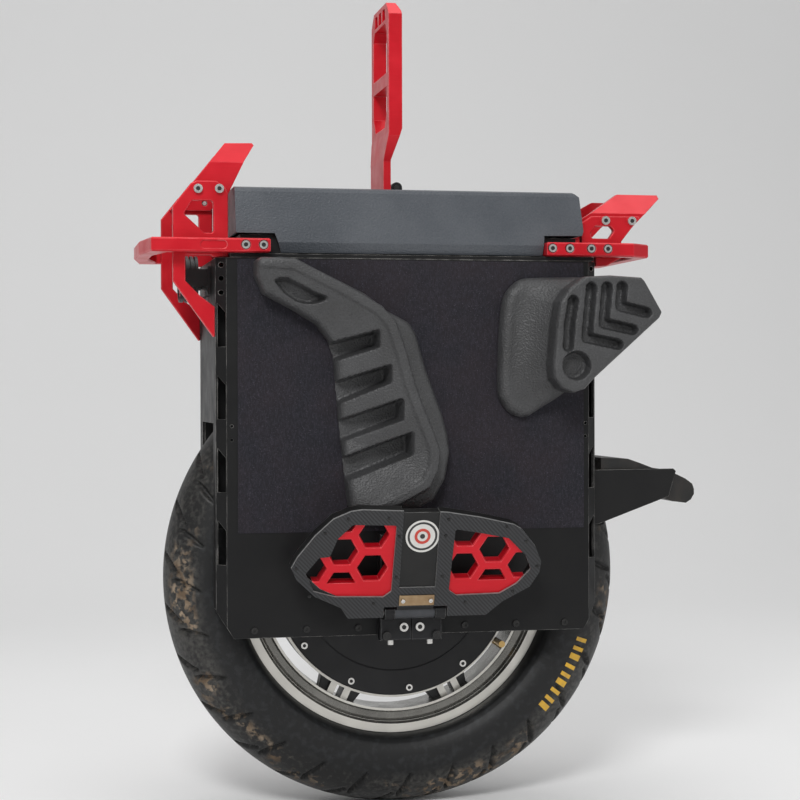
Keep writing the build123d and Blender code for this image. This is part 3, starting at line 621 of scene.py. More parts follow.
def dress_frame() -> None:
    """Give every CAD node its material."""
    for finish, nodes in DRESS.items():
        for node in nodes.split():
            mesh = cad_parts[node].data
            mesh.materials.clear()
            mesh.materials.append(material(finish))
            mesh.polygons.foreach_set("material_index", [0] * len(mesh.polygons))
            log.info("dressed %s", node)


def paint_faces(node: str, finish: object, rule: Callable[[Vector, Vector], bool]) -> None:
    """Give some faces of a CAD node another finish.

    Args:
        node: The CAD node.
        finish: The finish for the chosen faces.
        rule: Says from a face's middle, in millimetres from the axle and the ground, and its normal.
    """
    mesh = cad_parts[node].data
    mesh.materials.append(material(finish))
    index = len(mesh.materials) - 1
    for face in mesh.polygons:
        spot = (face.center - Vector((AXLE.x, 0, 0))) / MILLI
        if rule(spot, face.normal):
            face.material_index = index
    log.info("painted faces of %s", node)


def detail_frame() -> None:
    """Second finishes on CAD nodes that have more than one."""
    tall = AXLE.z / MILLI
    well, spoke_face, spoke_side = 163.0, 147.5, 146.8      # radii where the rim's colours end, in millimetres

    def reach(spot: Vector) -> float:
        """Distance of a spot from the axle's line, in millimetres."""
        return math.hypot(spot.x, spot.z - tall)

    paint_faces("rim", RIM_DARK, lambda spot, out: reach(spot) < well and not (
        abs(spot.y) > 21.0 and abs(out.y) > 0.7 and reach(spot) < 150.0))
    paint_faces("rim", ALLOY, lambda spot, out: reach(spot) < spoke_face and abs(out.y) > 0.7)
    paint_faces("rim", WEB_BLACK, lambda spot, out: reach(spot) < spoke_side and abs(out.y) < 0.3)
    paint_faces("hanger_bolts", BLACK_SCREW,
                lambda spot, out: abs(spot.x) > 15.0 and spot.z > 188.8)
    for side, name in SIDE_NAMES.items():
        paint_faces(f"pedal_arm_{name}", BARREL_GREY,
                    lambda spot, out: abs(spot.x) < 21.5 and spot.z < 227.0)
        lean = math.radians(PedalTrim.lean)
        face = Vector((0, side * math.cos(lean), -math.sin(lean)))
        paint_faces(f"pedal_plate_{name}", CUT_EDGE,
                    lambda spot, out, face=face: abs(out.dot(face)) < 0.5)
        # Painted highlight and wear: the downward faces of the side plate's lower edge get the lighter
        # sheet-edge colour.
        paint_faces(f"side_plate_{name}", SHEET_EDGE_WEAR_AND_HIGHLIGHT,
                    lambda spot, out: out.z < -0.9 and spot.z < 230.0)


# ---------------------------------------------------------------- mesh helpers
def new_piece(name: str, points: Sequence, faces: Sequence, finish: object,
              smooth: bool = True) -> bpy.types.Object:
    """Make a mesh object at the origin.

    Args:
        name: Name of the piece.
        points: Vertices in the frame.
        faces: Vertex indices of each face.
        finish: Its finish.
        smooth: Shade it smooth.

    Returns:
        The linked object.
    """
    mesh = bpy.data.meshes.new(name)
    mesh.from_pydata([tuple(p) for p in points], [], [tuple(f) for f in faces])
    piece = bpy.data.objects.new(name, mesh)
    bpy.context.scene.collection.objects.link(piece)
    mesh.materials.append(material(finish))
    mesh.polygons.foreach_set("use_smooth", [smooth] * len(mesh.polygons))
    tidy_mesh(piece)
    return piece


def tidy_mesh(piece: bpy.types.Object, gap: float = 1e-6) -> None:
    """Merge doubles and turn the faces outwards.

    Args:
        piece: The mesh object.
        gap: Points closer than this become one, in metres.
    """
    work = bmesh.new()
    work.from_mesh(piece.data)
    bmesh.ops.remove_doubles(work, verts=work.verts, dist=gap)
    bmesh.ops.recalc_face_normals(work, faces=work.faces)
    work.to_mesh(piece.data)
    work.free()


def bake(piece: bpy.types.Object) -> bpy.types.Object:
    """Replace the piece's mesh by its evaluated one, and remove its modifiers.

    Args:
        piece: The mesh object.

    Returns:
        The same object.
    """
    graph = bpy.context.evaluated_depsgraph_get()
    result = bpy.data.meshes.new_from_object(piece.evaluated_get(graph))
    piece.modifiers.clear()
    piece.data = result
    return piece


def place_piece(piece: bpy.types.Object, body: str, replaced: str = "") -> None:
    """Ride on a body, and stand for a CAD node if one is given.

    Args:
        piece: The mesh object.
        body: The body it moves with.
        replaced: The CAD node it stands for, if any.
    """
    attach(piece, body)
    if replaced:
        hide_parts(replaced)
    log.info("%s: %d faces on %s", piece.name, len(piece.data.polygons), body)


def along(points: np.ndarray, line: Outline) -> tuple[np.ndarray, np.ndarray]:
    """Distance from points to a line of straight runs.

    Args:
        points: Array of (x, z) pairs.
        line: The corners of the line.

    Returns:
        The distances, and the side: +1 to the left of the line's direction, -1 to the right.
    """
    best = np.full(len(points), 1e9)
    side = np.ones(len(points))
    for a, b in zip(line[:-1], line[1:]):
        start, run = np.array(a, float), np.array(b, float) - np.array(a, float)
        share = np.clip(((points - start) @ run) / (run @ run), 0, 1)
        off = points - (start + share[:, None] * run)
        length = np.hypot(off[:, 0], off[:, 1])
        turn = np.sign(run[0] * off[:, 1] - run[1] * off[:, 0])
        closer = length < best - 1e-6
        best = np.where(closer, length, best)
        side = np.where(closer, turn, side)
    return best, side


def ease(value: np.ndarray) -> np.ndarray:
    """Smooth step from 0 to 1."""
    held = np.clip(value, 0, 1)
    return held * held * (3 - 2 * held)


def inside(points: np.ndarray, outline: Outline) -> np.ndarray:
    """Which points lie inside a closed outline.

    Args:
        points: Array of (x, z) pairs, in millimetres.
        outline: Corners of the closed outline.

    Returns:
        True for each point inside.
    """
    found = np.zeros(len(points), bool)
    for (x0, z0), (x1, z1) in zip(outline, [*outline[1:], outline[0]]):
        crosses = (z0 > points[:, 1]) != (z1 > points[:, 1])
        at = x0 + (points[:, 1] - z0) * (x1 - x0) / ((z1 - z0) or 1e-9)
        found ^= crosses & (points[:, 0] < at)
    return found


def rounded(outline: Outline, rounds: int = 2) -> list[tuple[float, float]]:
    """Cut the corners of a closed outline, a few rounds over.

    Args:
        outline: Corners of the closed outline.
        rounds: How often the corners are cut.

    Returns:
        The new corners.
    """
    line = [np.array(p, float) for p in outline]
    for _ in range(rounds):
        cut = []
        for a, b in zip(line, [*line[1:], line[0]]):
            cut += [a * 0.75 + b * 0.25, a * 0.25 + b * 0.75]
        line = cut
    return [(float(p[0]), float(p[1])) for p in line]


def relief(name: str, outline: Outline, back: float, height: Callable[[np.ndarray], np.ndarray],
           side: int, cell: float = 1.8) -> tuple[list, list]:
    """Closed solid with a flat back, an upright wall and a sculpted face.

    Args:
        name: Name for the log.
        outline: Side outline in millimetres.
        back: Distance of the back from the middle plane.
        height: Distance of the face for an array of (x, z) points.
        side: LEFT or RIGHT.
        cell: Spacing of the face's points.

    Returns:
        The vertices and faces.
    """
    rim: list[Vector] = []
    for a, b in zip(outline, [*outline[1:], outline[0]]):
        count = max(1, round(math.dist(a, b) / cell))
        rim += [Vector(a).lerp(Vector(b), k / count) for k in range(count)]
    corners = np.array([tuple(p) for p in rim])
    xs = np.arange(corners[:, 0].min(), corners[:, 0].max(), cell)
    zs = np.arange(corners[:, 1].min(), corners[:, 1].max(), cell)
    grid = np.array([(x, z) for x in xs for z in zs])
    grid = grid[inside(grid, outline)]
    gap, _ = along(grid, [*outline, outline[0]])
    grid = grid[gap > cell * 0.6]
    flat = [tuple(p) for p in rim] + [tuple(p) for p in grid]
    edges = [(k, (k + 1) % len(rim)) for k in range(len(rim))]
    points, _, faces, *_ = delaunay_2d_cdt([Vector(p) for p in flat], edges, [], 1, 1e-4)
    spots = np.array([tuple(p) for p in points])
    face = height(spots)
    count = len(spots)
    verts = [mm(x, side * y, z) for (x, z), y in zip(spots, face)]
    verts += [mm(x, side * back, z) for x, z in spots]
    solid = [list(f) for f in faces] + [[i + count for i in reversed(f)] for f in faces]
    seen: dict[tuple[int, int], int] = {}
    for f in faces:
        for i, j in zip(f, [*f[1:], f[0]]):
            seen[(i, j)] = 1
    solid += [[j, i, i + count, j + count] for i, j in seen if (j, i) not in seen]
    log.info("%s: %d points", name, count)
    return verts, solid


def soften(piece: bpy.types.Object, voxel: float, passes: int) -> None:
    """Fuse the piece's shells and round their edges.

    Args:
        piece: The mesh object.
        voxel: Cell of the remesh, in metres.
        passes: Smoothing passes.
    """
    fuse = piece.modifiers.new("fuse", "REMESH")
    fuse.mode = "VOXEL"
    fuse.voxel_size = voxel
    fuse.use_smooth_shade = True
    smooth = piece.modifiers.new("soften", "SMOOTH")
    smooth.factor = 0.5
    smooth.iterations = passes
    bake(piece)
    piece.data.polygons.foreach_set("use_smooth", [True] * len(piece.data.polygons))


# ---------------------------------------------------------------- geometry node patterns
class ScrewPattern:
    """Geometry Nodes tree that sets one socket-head screw on every point of a mesh."""

    def __init__(self) -> None:
        """Build the tree and remember its inputs' identifiers."""
        self.tree = bpy.data.node_groups.new("screw_pattern", "GeometryNodeTree")
        face = self.tree.interface
        face.new_socket("Points", in_out="INPUT", socket_type="NodeSocketGeometry")
        self.keys: dict[str, str] = {}
        for name, kind in (("Head Radius", "NodeSocketFloat"), ("Head Height", "NodeSocketFloat"),
                           ("Socket Radius", "NodeSocketFloat"), ("Axis", "NodeSocketVector"),
                           ("Finish", "NodeSocketMaterial")):
            self.keys[name] = face.new_socket(name, in_out="INPUT", socket_type=kind).identifier
        face.new_socket("Screws", in_out="OUTPUT", socket_type="NodeSocketGeometry")
        self.wire()

    def node(self, kind: str, links: dict[str, object], **values: object) -> bpy.types.Node:
        """Add a node, set its properties, and link or set its inputs.

        Args:
            kind: Type of the node.
            links: Inputs, with what each is linked or set to.
            **values: Properties and their values.

        Returns:
            The node.
        """
        node = self.tree.nodes.new(kind)
        for key, value in values.items():
            setattr(node, key, value)
        for key, value in links.items():
            socket = node.inputs[key]
            if isinstance(value, bpy.types.NodeSocket):
                self.tree.links.new(value, socket)
            else:
                socket.default_value = value
        return node

    def wire(self) -> None:
        """Head less its hexagon socket, turned to the axis, on every point."""
        given = self.tree.nodes.new("NodeGroupInput").outputs
        head = self.node("GeometryNodeMeshCone",
                         {"Vertices": 24, "Radius Bottom": given["Head Radius"],
                                                  "Depth": given["Head Height"]})
        taper = self.node("ShaderNodeMath", {0: given["Head Radius"], 1: 0.88},
                          operation="MULTIPLY")
        self.tree.links.new(taper.outputs[0], head.inputs["Radius Top"])
        well = self.node("GeometryNodeMeshCylinder",
                         {"Vertices": 6, "Radius": given["Socket Radius"],
                                                      "Depth": given["Head Height"]})
        lift = self.node("ShaderNodeCombineXYZ", {"Z": given["Head Height"]})
        sunk = self.node("GeometryNodeTransform", {"Geometry": well.outputs["Mesh"],
                                                   "Translation": lift.outputs["Vector"]})
        cut = self.node("GeometryNodeMeshBoolean", {}, operation="DIFFERENCE")
        self.tree.links.new(head.outputs["Mesh"], cut.inputs["Mesh 1"])
        self.tree.links.new(sunk.outputs["Geometry"], cut.inputs["Mesh 2"])
        turn = self.node("FunctionNodeAlignRotationToVector", {"Vector": given["Axis"]}, axis="Z")
        spread = self.node("GeometryNodeInstanceOnPoints", {"Points": given["Points"],
                                                            "Instance": cut.outputs["Mesh"],
                                                            "Rotation": turn.outputs["Rotation"]})
        real = self.node("GeometryNodeRealizeInstances", {"Geometry": spread.outputs["Instances"]})
        painted = self.node("GeometryNodeSetMaterial", {"Geometry": real.outputs["Geometry"],
                                                        "Material": given["Finish"]})
        out = self.tree.nodes.new("NodeGroupOutput")
        self.tree.links.new(painted.outputs["Geometry"], out.inputs["Screws"])

    def make(self, name: str, points: Sequence[Vector], axis: Vector, head: float, tall: float,
             socket: float, finish: object) -> bpy.types.Object:
        """Screws at the points, as one plain mesh.

        Args:
            name: Name of the piece.
            points: Middles of the heads.
            axis: Direction that the heads face.
            head: Radius of a head.
            tall: Height of a head.
            socket: Radius of the hexagon socket.
            finish: Finish of the screws.

        Returns:
            The piece.
        """
        mesh = bpy.data.meshes.new(name)
        mesh.from_pydata([tuple(p) for p in points], [], [])
        piece = bpy.data.objects.new(name, mesh)
        bpy.context.scene.collection.objects.link(piece)
        pattern = piece.modifiers.new("screws", "NODES")
        pattern.node_group = self.tree
        for key, value in (("Head Radius", head), ("Head Height", tall), ("Socket Radius", socket),
                           ("Axis", tuple(axis)), ("Finish", material(finish))):
            pattern[self.keys[key]] = value
        return bake(piece)


# ---------------------------------------------------------------- tyre
@dataclass
class Tyre:
    """Round-crowned tyre with sickle-shaped grooves, shoulder rings and painted bars."""

    radius: float = 250.0
    half: float = 49.7
    bead_radius: float = 172.9
    bead_half: float = 22.3
    pitches: int = 28
    steps: int = 29                   # points along the tread in one pitch
    crown_steps: int = 36             # runs of the section from the crown to the widest point
    wall_steps: int = 18              # runs from there to the bead
    groove_depth: float = 5.2
    ring_radii: tuple[float, ...] = (177.0, 181.0, 206.0)
    bars: tuple[float, float, int] = (-43.0, 25.0,
                                      9)      # first angle, whole angle and number of bars

    def section(self) -> list[tuple[float, float, float]]:
        """Half of the outside: (radius, half width, distance along the tread from the crown).

        Returns:
            The points, from the crown to the bead, in millimetres.
        """
        mid = self.radius - self.half
        line = []
        for step in range(self.crown_steps + 1):
            turn = math.radians(step * 90 / self.crown_steps)
            line.append((mid + self.half * math.cos(turn), self.half * math.sin(turn),
                         self.half * turn))
        drop, draw = mid - self.bead_radius, self.half - self.bead_half
        for step in range(1, self.wall_steps + 1):
            turn = math.radians(step * 90 / self.wall_steps)
            line.append((mid - drop * math.sin(turn) ** 0.9,
                         self.bead_half + draw * math.cos(turn) ** 0.75, 200.0))
        return line

    def groove(self, around: np.ndarray, across: np.ndarray) -> np.ndarray:
        """Depth of the grooves, from 0 to 1.

        Args:
            around: Place along the tread, in pitches.
            across: Distance from the crown along the section, in millimetres.

        Returns:
            Depth of each point.
        """
        length = 2 * math.pi * self.radius / self.pitches
        deep = np.zeros_like(around)
        for side in (-1, 1):
            for start, lead, reach, bend, wide in ((30.0, 0.0, 34.0, 10.0, 4.6),
                                                   (6.0, 0.52, 32.0, 16.0, 4.2)):
                share = (side * across - start) / reach
                line = lead + (0.0 if side < 0 else 0.25) + (bend * share + 5.0 * share * share) / length
                off = (around - line + 0.5) % 1.0 - 0.5
                width = wide * np.sqrt(np.clip(np.sin(np.pi * np.clip(share, 0, 1)), 0, 1))
                cut = 1 - np.abs(off) * length / np.maximum(width, 0.01)
                deep = np.maximum(deep, np.where((share > 0) & (share < 1), ease(cut * 1.6), 0))
        return deep

    def wall_ring(self, radius: float, half: float) -> float:
        """Small raised rings on the sidewall, in millimetres.

        Args:
            radius: Distance from the axle, in millimetres.
            half: Distance from the middle plane, in millimetres.

        Returns:
            The rise, in millimetres.
        """
        if half < self.half * 0.6:
            return 0.0
        return sum(0.7 * math.exp(-((radius - ring) / 0.9) ** 2) for ring in self.ring_radii)

    def build(self) -> bpy.types.Object:
        """Make the tyre and its painted bars.

        Returns:
            The tyre.
        """
        outside = self.section()
        whole = [(r, -w, -s) for r, w, s in reversed(outside[1:])] + outside
        inner = [(161.0, 22.0), (161.0, 13.0), (185.0, 35.5), (self.radius - self.half, 41.0),
                 (229.0, 29.0),
                 (241.0, 0.0)]
        liner = inner + [(r, -w) for r, w in reversed(inner[:-1])]
        around = self.pitches * self.steps
        turns = np.arange(around) / around
        columns = []
        for r, w, s in whole:
            ring = self.wall_ring(r, abs(w)) if abs(s) > 78 else 0.0
            cut = self.groove(turns * self.pitches, np.full(around, s)) * self.groove_depth
            mid = self.radius - self.half
            normal = Vector((r - mid, w)).normalized() if r > mid else Vector((0,
                                                                               math.copysign(1, w)))
            columns.append((r + (ring - cut) * normal.x, w + (ring - cut) * normal.y))
        columns += [(np.full(around, r), np.full(around, w)) for r, w in liner]
        angle = turns * 2 * math.pi
        points = []
        for r, w in columns:
            x, z = r * np.cos(angle), r * np.sin(angle)
            points.append(np.stack([AXLE.x + x * MILLI, w * np.ones(around) * MILLI,
                                    AXLE.z + z * MILLI], 1))
        rows = len(columns)
        grid = np.arange(rows * around).reshape(rows, around)
        faces = [(grid[i, j], grid[(i + 1) % rows, j], grid[(i + 1) % rows, (j + 1) % around],
                  grid[i, (j + 1) % around]) for i in range(rows) for j in range(around)]
        piece = new_piece("tyre_carcass", np.concatenate(points), faces, TYRE_RUBBER)
        place_piece(piece, "wheel", "tyre")
        self.paint_bars()
        return piece

    def wall_half(self, radius: float) -> float:
        """Half width of the tyre's outside at a radius."""
        return math.sqrt(self.half ** 2 - (radius - self.radius + self.half) ** 2)

    def paint_bars(self) -> None:
        """Plain raised bars in an arc on both sidewalls."""
        first, whole, count = self.bars
        points, faces = [], []
        for side in (LEFT, RIGHT):
            for bar in range(count):
                start = math.radians(first + whole * bar / count)
                end = start + math.radians(whole / count * (0.42 if bar % 3 else 0.62))
                base = len(points)
                radii = (211.0, 214.5, 218.0, 221.0, 224.0)
                line = [(r, self.wall_half(r) + 0.45) for r in radii]
                line += [(r, self.wall_half(r) - 0.8) for r in reversed(radii)]
                for r, w in line:
                    for turn in (start, end):
                        points.append(mm(r * math.cos(turn), side * w,
                                         self.radius + r * math.sin(turn)))
                loop = tuple(range(0, 2 * len(line), 2))
                faces += [(base + a, base + a + 1, base + b + 1, base + b)
                          for a, b in zip(loop, loop[1:] + loop[:1])]
                faces += [tuple(base + k for k in loop),
                          tuple(base + k + 1 for k in reversed(loop))]
        piece = new_piece("sidewall_bars", points, faces, WALL_PAINT, smooth=False)
        place_piece(piece, "wheel")


# ---------------------------------------------------------------- wheel trim
@dataclass
class WheelTrim:
    """Black gusset webs beside the pairs of spokes."""

    pairs: int = 7
    inner: float = 134.8
    outer: float = 148.2
    half: float = 9.0
    near: tuple[float, float] = (11.5,
                                 24.5)      # edges of a web at the hub, from the middle of its pair
    far: tuple[float, float] = (11.5, 21.0)       # and at the rim

    def build(self) -> None:
        """Make all webs as one piece."""
        points, faces = [], []
        for pair in range(self.pairs):
            turn = math.radians(-90 + (pair + 0.5) * 360 / self.pairs)
            for side in (-1, 1):
                base = len(points)
                for y in (-self.half, self.half):
                    for r, across in ((self.inner, self.near[0]), (self.inner, self.near[1]),
                                      (self.outer, self.far[1]), (self.outer, self.far[0])):
                        angle = turn + side * across / r
                        points.append(mm(r * math.cos(angle), y,
                                         AXLE.z / MILLI + r * math.sin(angle)))
                faces += [tuple(base + k for k in order) for order in
                          ((0, 1, 2, 3), (7, 6, 5, 4), (0, 4, 5, 1), (1, 5, 6, 2), (2, 6, 7, 3),
                           (3, 7, 4, 0))]
        piece = new_piece("spoke_webs", points, faces, WEB_BLACK, smooth=False)
        edge = piece.modifiers.new("edge", "BEVEL")
        edge.width = 1.0 * MILLI
        edge.segments = 2
        place_piece(bake(piece), "wheel")


def screw_heads(node: str) -> list[tuple[Vector, int, float]]:
    """Top middle, side and radius of each screw in a CAD node whose screws face out along Y.

    Args:
        node: The CAD node.

    Returns:
        Middle of the outer face, side and radius of each screw, in metres.
    """
    work = bmesh.new()
    work.from_mesh(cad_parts[node].data)
    bmesh.ops.remove_doubles(work, verts=work.verts, dist=1e-6)
    left, found = set(work.verts), []
    while left:
        shell, queue = set(), [left.pop()]
        while queue:
            vert = queue.pop()
            shell.add(vert)
            for edge in vert.link_edges:
                other = edge.other_vert(vert)
                if other in left:
                    left.discard(other)
                    queue.append(other)
        spots = np.array([tuple(vert.co) for vert in shell])
        side = LEFT if spots[:, 1].mean() < 0 else RIGHT
        top = spots[:, 1].min() if side < 0 else spots[:, 1].max()
        low, high = spots.min(0), spots.max(0)
        found.append((Vector(((low[0] + high[0]) / 2, top, (low[2] + high[2]) / 2)), side,
                      (high[0] - low[0]) / 2))
    work.free()
    return sorted(found, key=lambda head: tuple(head[0]))


def fill_sockets(node: str, body: str, screws: "ScrewPattern", low: float = 0.0) -> None:
    """Painted shade on the screws of a CAD node: thin near-black heads standing for the shadow inside their
    hexagon sockets.

    Args:
        node: The screws.
        body: The body they ride on.
        screws: The pattern that draws them.
        low: Screws below this height are left out, in metres.
    """
    for side, name in SIDE_NAMES.items():
        heads = [h for h in screw_heads(node) if h[1] == side and h[0].z > low]
        if not heads:
            continue
        radius = float(np.median([h[2] for h in heads]))
        spots = [h[0] - Vector((0, side * radius * 0.05, 0)) for h in heads]
        piece = screws.make(f"{node}_socket_shade_{name}", spots, Vector((0, side, 0)), radius * 0.56,
                            radius * 0.1,
                            radius * 0.3, SOCKET_SHADE_PAINT)
        place_piece(piece, body)


# ---------------------------------------------------------------- pads
def edge_round(points: np.ndarray, outline: Outline, radius: float) -> np.ndarray:
    """How far a rounded edge falls back near an outline.

    Args:
        points: Array of (x, z) pairs, in millimetres.
        outline: Corners of the closed outline.
        radius: Radius of the edge, in millimetres.

    Returns:
        The fall at each point, in millimetres.
    """
    gap, _ = along(points, [*outline, outline[0]])
    near = np.clip(1 - gap / radius, 0, 1)
    return radius * (1 - np.sqrt(np.clip(1 - near * near, 0, 1)))


@dataclass
class ShinPad:
    """Moulded pad in front of the shin, with a ridge, four pockets and a leaf-shaped recess."""

    back: float = 94.7
    crest: float = 133.6
    ridge: Outline = ((-165, 586), (-124, 583), (-72, 557), (-35, 536), (-21, 520), (-11, 491),
                      (-2, 458), (8, 430),
                      (19, 404), (25, 386), (23, 368), (14, 350), (-8, 338), (-40, 322))
    outline: Outline = ((-164, 583), (-160, 586), (-137, 588), (-120, 586), (-101, 576),
                        (-75, 563.5), (-49, 550.6),
                        (-26, 533), (-2, 520.5), (5, 510), (17, 469), (33, 426), (39, 403.6),
                        (41, 385), (36, 357),
                        (23, 334.5), (7.5, 327), (-61, 326.5), (-66, 330), (-75.6, 421), (-81, 486),
                        (-87, 502.5),
                        (-100, 519), (-124, 533.6), (-155, 550), (-163.5, 568))
    pockets: tuple = (((-36, 513), (-36, 495), (-92, 477), (-92, 498)),
                      ((-24.5, 477), (-24.5, 458), (-92, 430),
                      (-92, 456)), ((-12, 442), (-12, 419.5), (-92, 390), (-92, 414)),
                      ((-1.5, 407), (-1.5, 383), (-92, 348), (-92, 374)))
    leaf: Outline = ((-147, 563), (-140, 565.5), (-131, 565), (-118, 559), (-103, 551),
                     (-88, 545.5), (-98, 540.5),
                     (-110, 538.5), (-122, 541), (-134, 549))

    def face(self, points: np.ndarray) -> np.ndarray:
        """Distance of the moulded face from the middle plane.

        Args:
            points: Array of (x, z) pairs, in millimetres.

        Returns:
            The distances, in millimetres.
        """
        gap, side = along(points, self.ridge)
        leg = side < 0
        inner = self.crest - 2.4 * ease((gap - 8) / 3) - 0.30 * np.clip(gap - 8, 0, 90)
        tier = self.crest - 17.0 * ease((gap - 0.8) / 2.4) - 0.10 * np.clip(gap - 4, 0, 40)
        face = np.where(leg, inner, tier)
        for pocket in self.pockets:
            depth, _ = along(points, [*pocket, pocket[0]])
            hollow = inside(points, pocket) * ease(depth / 2.0)
            floor = np.minimum(face - 3.0, 96.6 + 0.02 * np.abs(points[:, 0] + 90))
            face = face + (floor - face) * hollow
        depth, _ = along(points, [*self.leaf, self.leaf[0]])
        face = face - inside(points, self.leaf) * ease(depth / 2.2) * 13.0
        fall = edge_round(points, self.outline, 7.0)
        return np.maximum(face - fall, self.back + 1.5)

    def build(self, side: int) -> None:
        """Make one pad.

        Args:
            side: LEFT or RIGHT.
        """
        name = f"shin_pad_{SIDE_NAMES[side]}"
        points, faces = relief(name, self.outline, self.back, self.face, side)
        piece = new_piece(f"{name}_foam", points, faces, PAD_FOAM)
        soften(piece, 1.2 * MILLI, 2)
        place_piece(piece, "chassis", name)


@dataclass
class HeelPad:
    """Moulded pad behind the calf: a base that flows up into a lobe with grooves and a round hole."""

    back: float = 94.7
    lobe_back: float = 121.0
    crest: float = 153.6
    base: Outline = ((96, 443), (95.4, 465), (98, 522), (101, 545), (106, 556), (118, 567),
                     (130, 569.6),
                     (197, 569.6), (206, 560), (206, 500), (190, 470), (155, 439), (130, 422),
                     (118, 421), (105, 428))
    lobe: Outline = ((176.7, 568.1), (203.9, 569.7), (238.1, 567.7), (241.9, 564.1), (260.8, 531.7),
                     (258.3, 525.7), (186.3, 461.9), (176.5, 451.1), (164, 446.9), (151.6, 451.1),
                     (143, 461.9), (141.7, 476.3), (145.5, 519.1), (149.3, 541.8), (159.2, 556.2))
    grooves: tuple = (((163.5, 543.0), (159.5, 520.0), (158.0, 495.0)),
                      ((183, 557), (178, 504.5), (212, 497.5)),
                      ((200, 557.5), (196.5, 519.5), (228, 513.0)),
                      ((216.5, 558), (215, 537.5), (243, 531.0)))
    groove_half: float = 5.0
    hole: tuple[float, float, float] = (167.0, 475.5, 14.5)

    def base_face(self, points: np.ndarray) -> np.ndarray:
        """Face of the base, hollow at the front and rising to the lobe.

        Args:
            points: Array of (x, z) pairs, in millimetres.

        Returns:
            The distances, in millimetres.
        """
        gap, _ = along(points, [*self.lobe, self.lobe[0]])
        gap = np.where(inside(points, self.lobe), 0, gap)
        rise = 108.0 + 18.0 * np.clip(1 - gap / 34, 0, 1) ** 1.8
        return np.maximum(rise - edge_round(points, self.base, 11.0), self.back + 1.5)

    def lobe_face(self, points: np.ndarray) -> np.ndarray:
        """Face of the lobe, with its grooves and hole.

        Args:
            points: Array of (x, z) pairs, in millimetres.

        Returns:
            The distances, in millimetres.
        """
        face = np.full(len(points), self.crest) - edge_round(points, self.lobe, 4.0)
        for groove in self.grooves:
            gap, _ = along(points, groove)
            face = face - 13.0 * ease((self.groove_half + 0.9 - gap) / 1.9)
        x, z, radius = self.hole
        gap = np.hypot(points[:, 0] - x, points[:, 1] - z)
        return face - 15.0 * ease((radius + 0.9 - gap) / 2.0)

    def build(self, side: int) -> None:
        """Make one pad.

        Args:
            side: LEFT or RIGHT.
        """
        name = f"heel_pad_{SIDE_NAMES[side]}"
        points, faces = relief(name, rounded(self.base), self.back, self.base_face, side)
        more, shell = relief(name, self.lobe, self.lobe_back, self.lobe_face, side, 1.4)
        faces = [*faces, *[[k + len(points) for k in f] for f in shell]]
        piece = new_piece(f"{name}_foam", [*points, *more], faces, PAD_FOAM)
        soften(piece, 1.1 * MILLI, 2)
        place_piece(piece, "chassis", name)


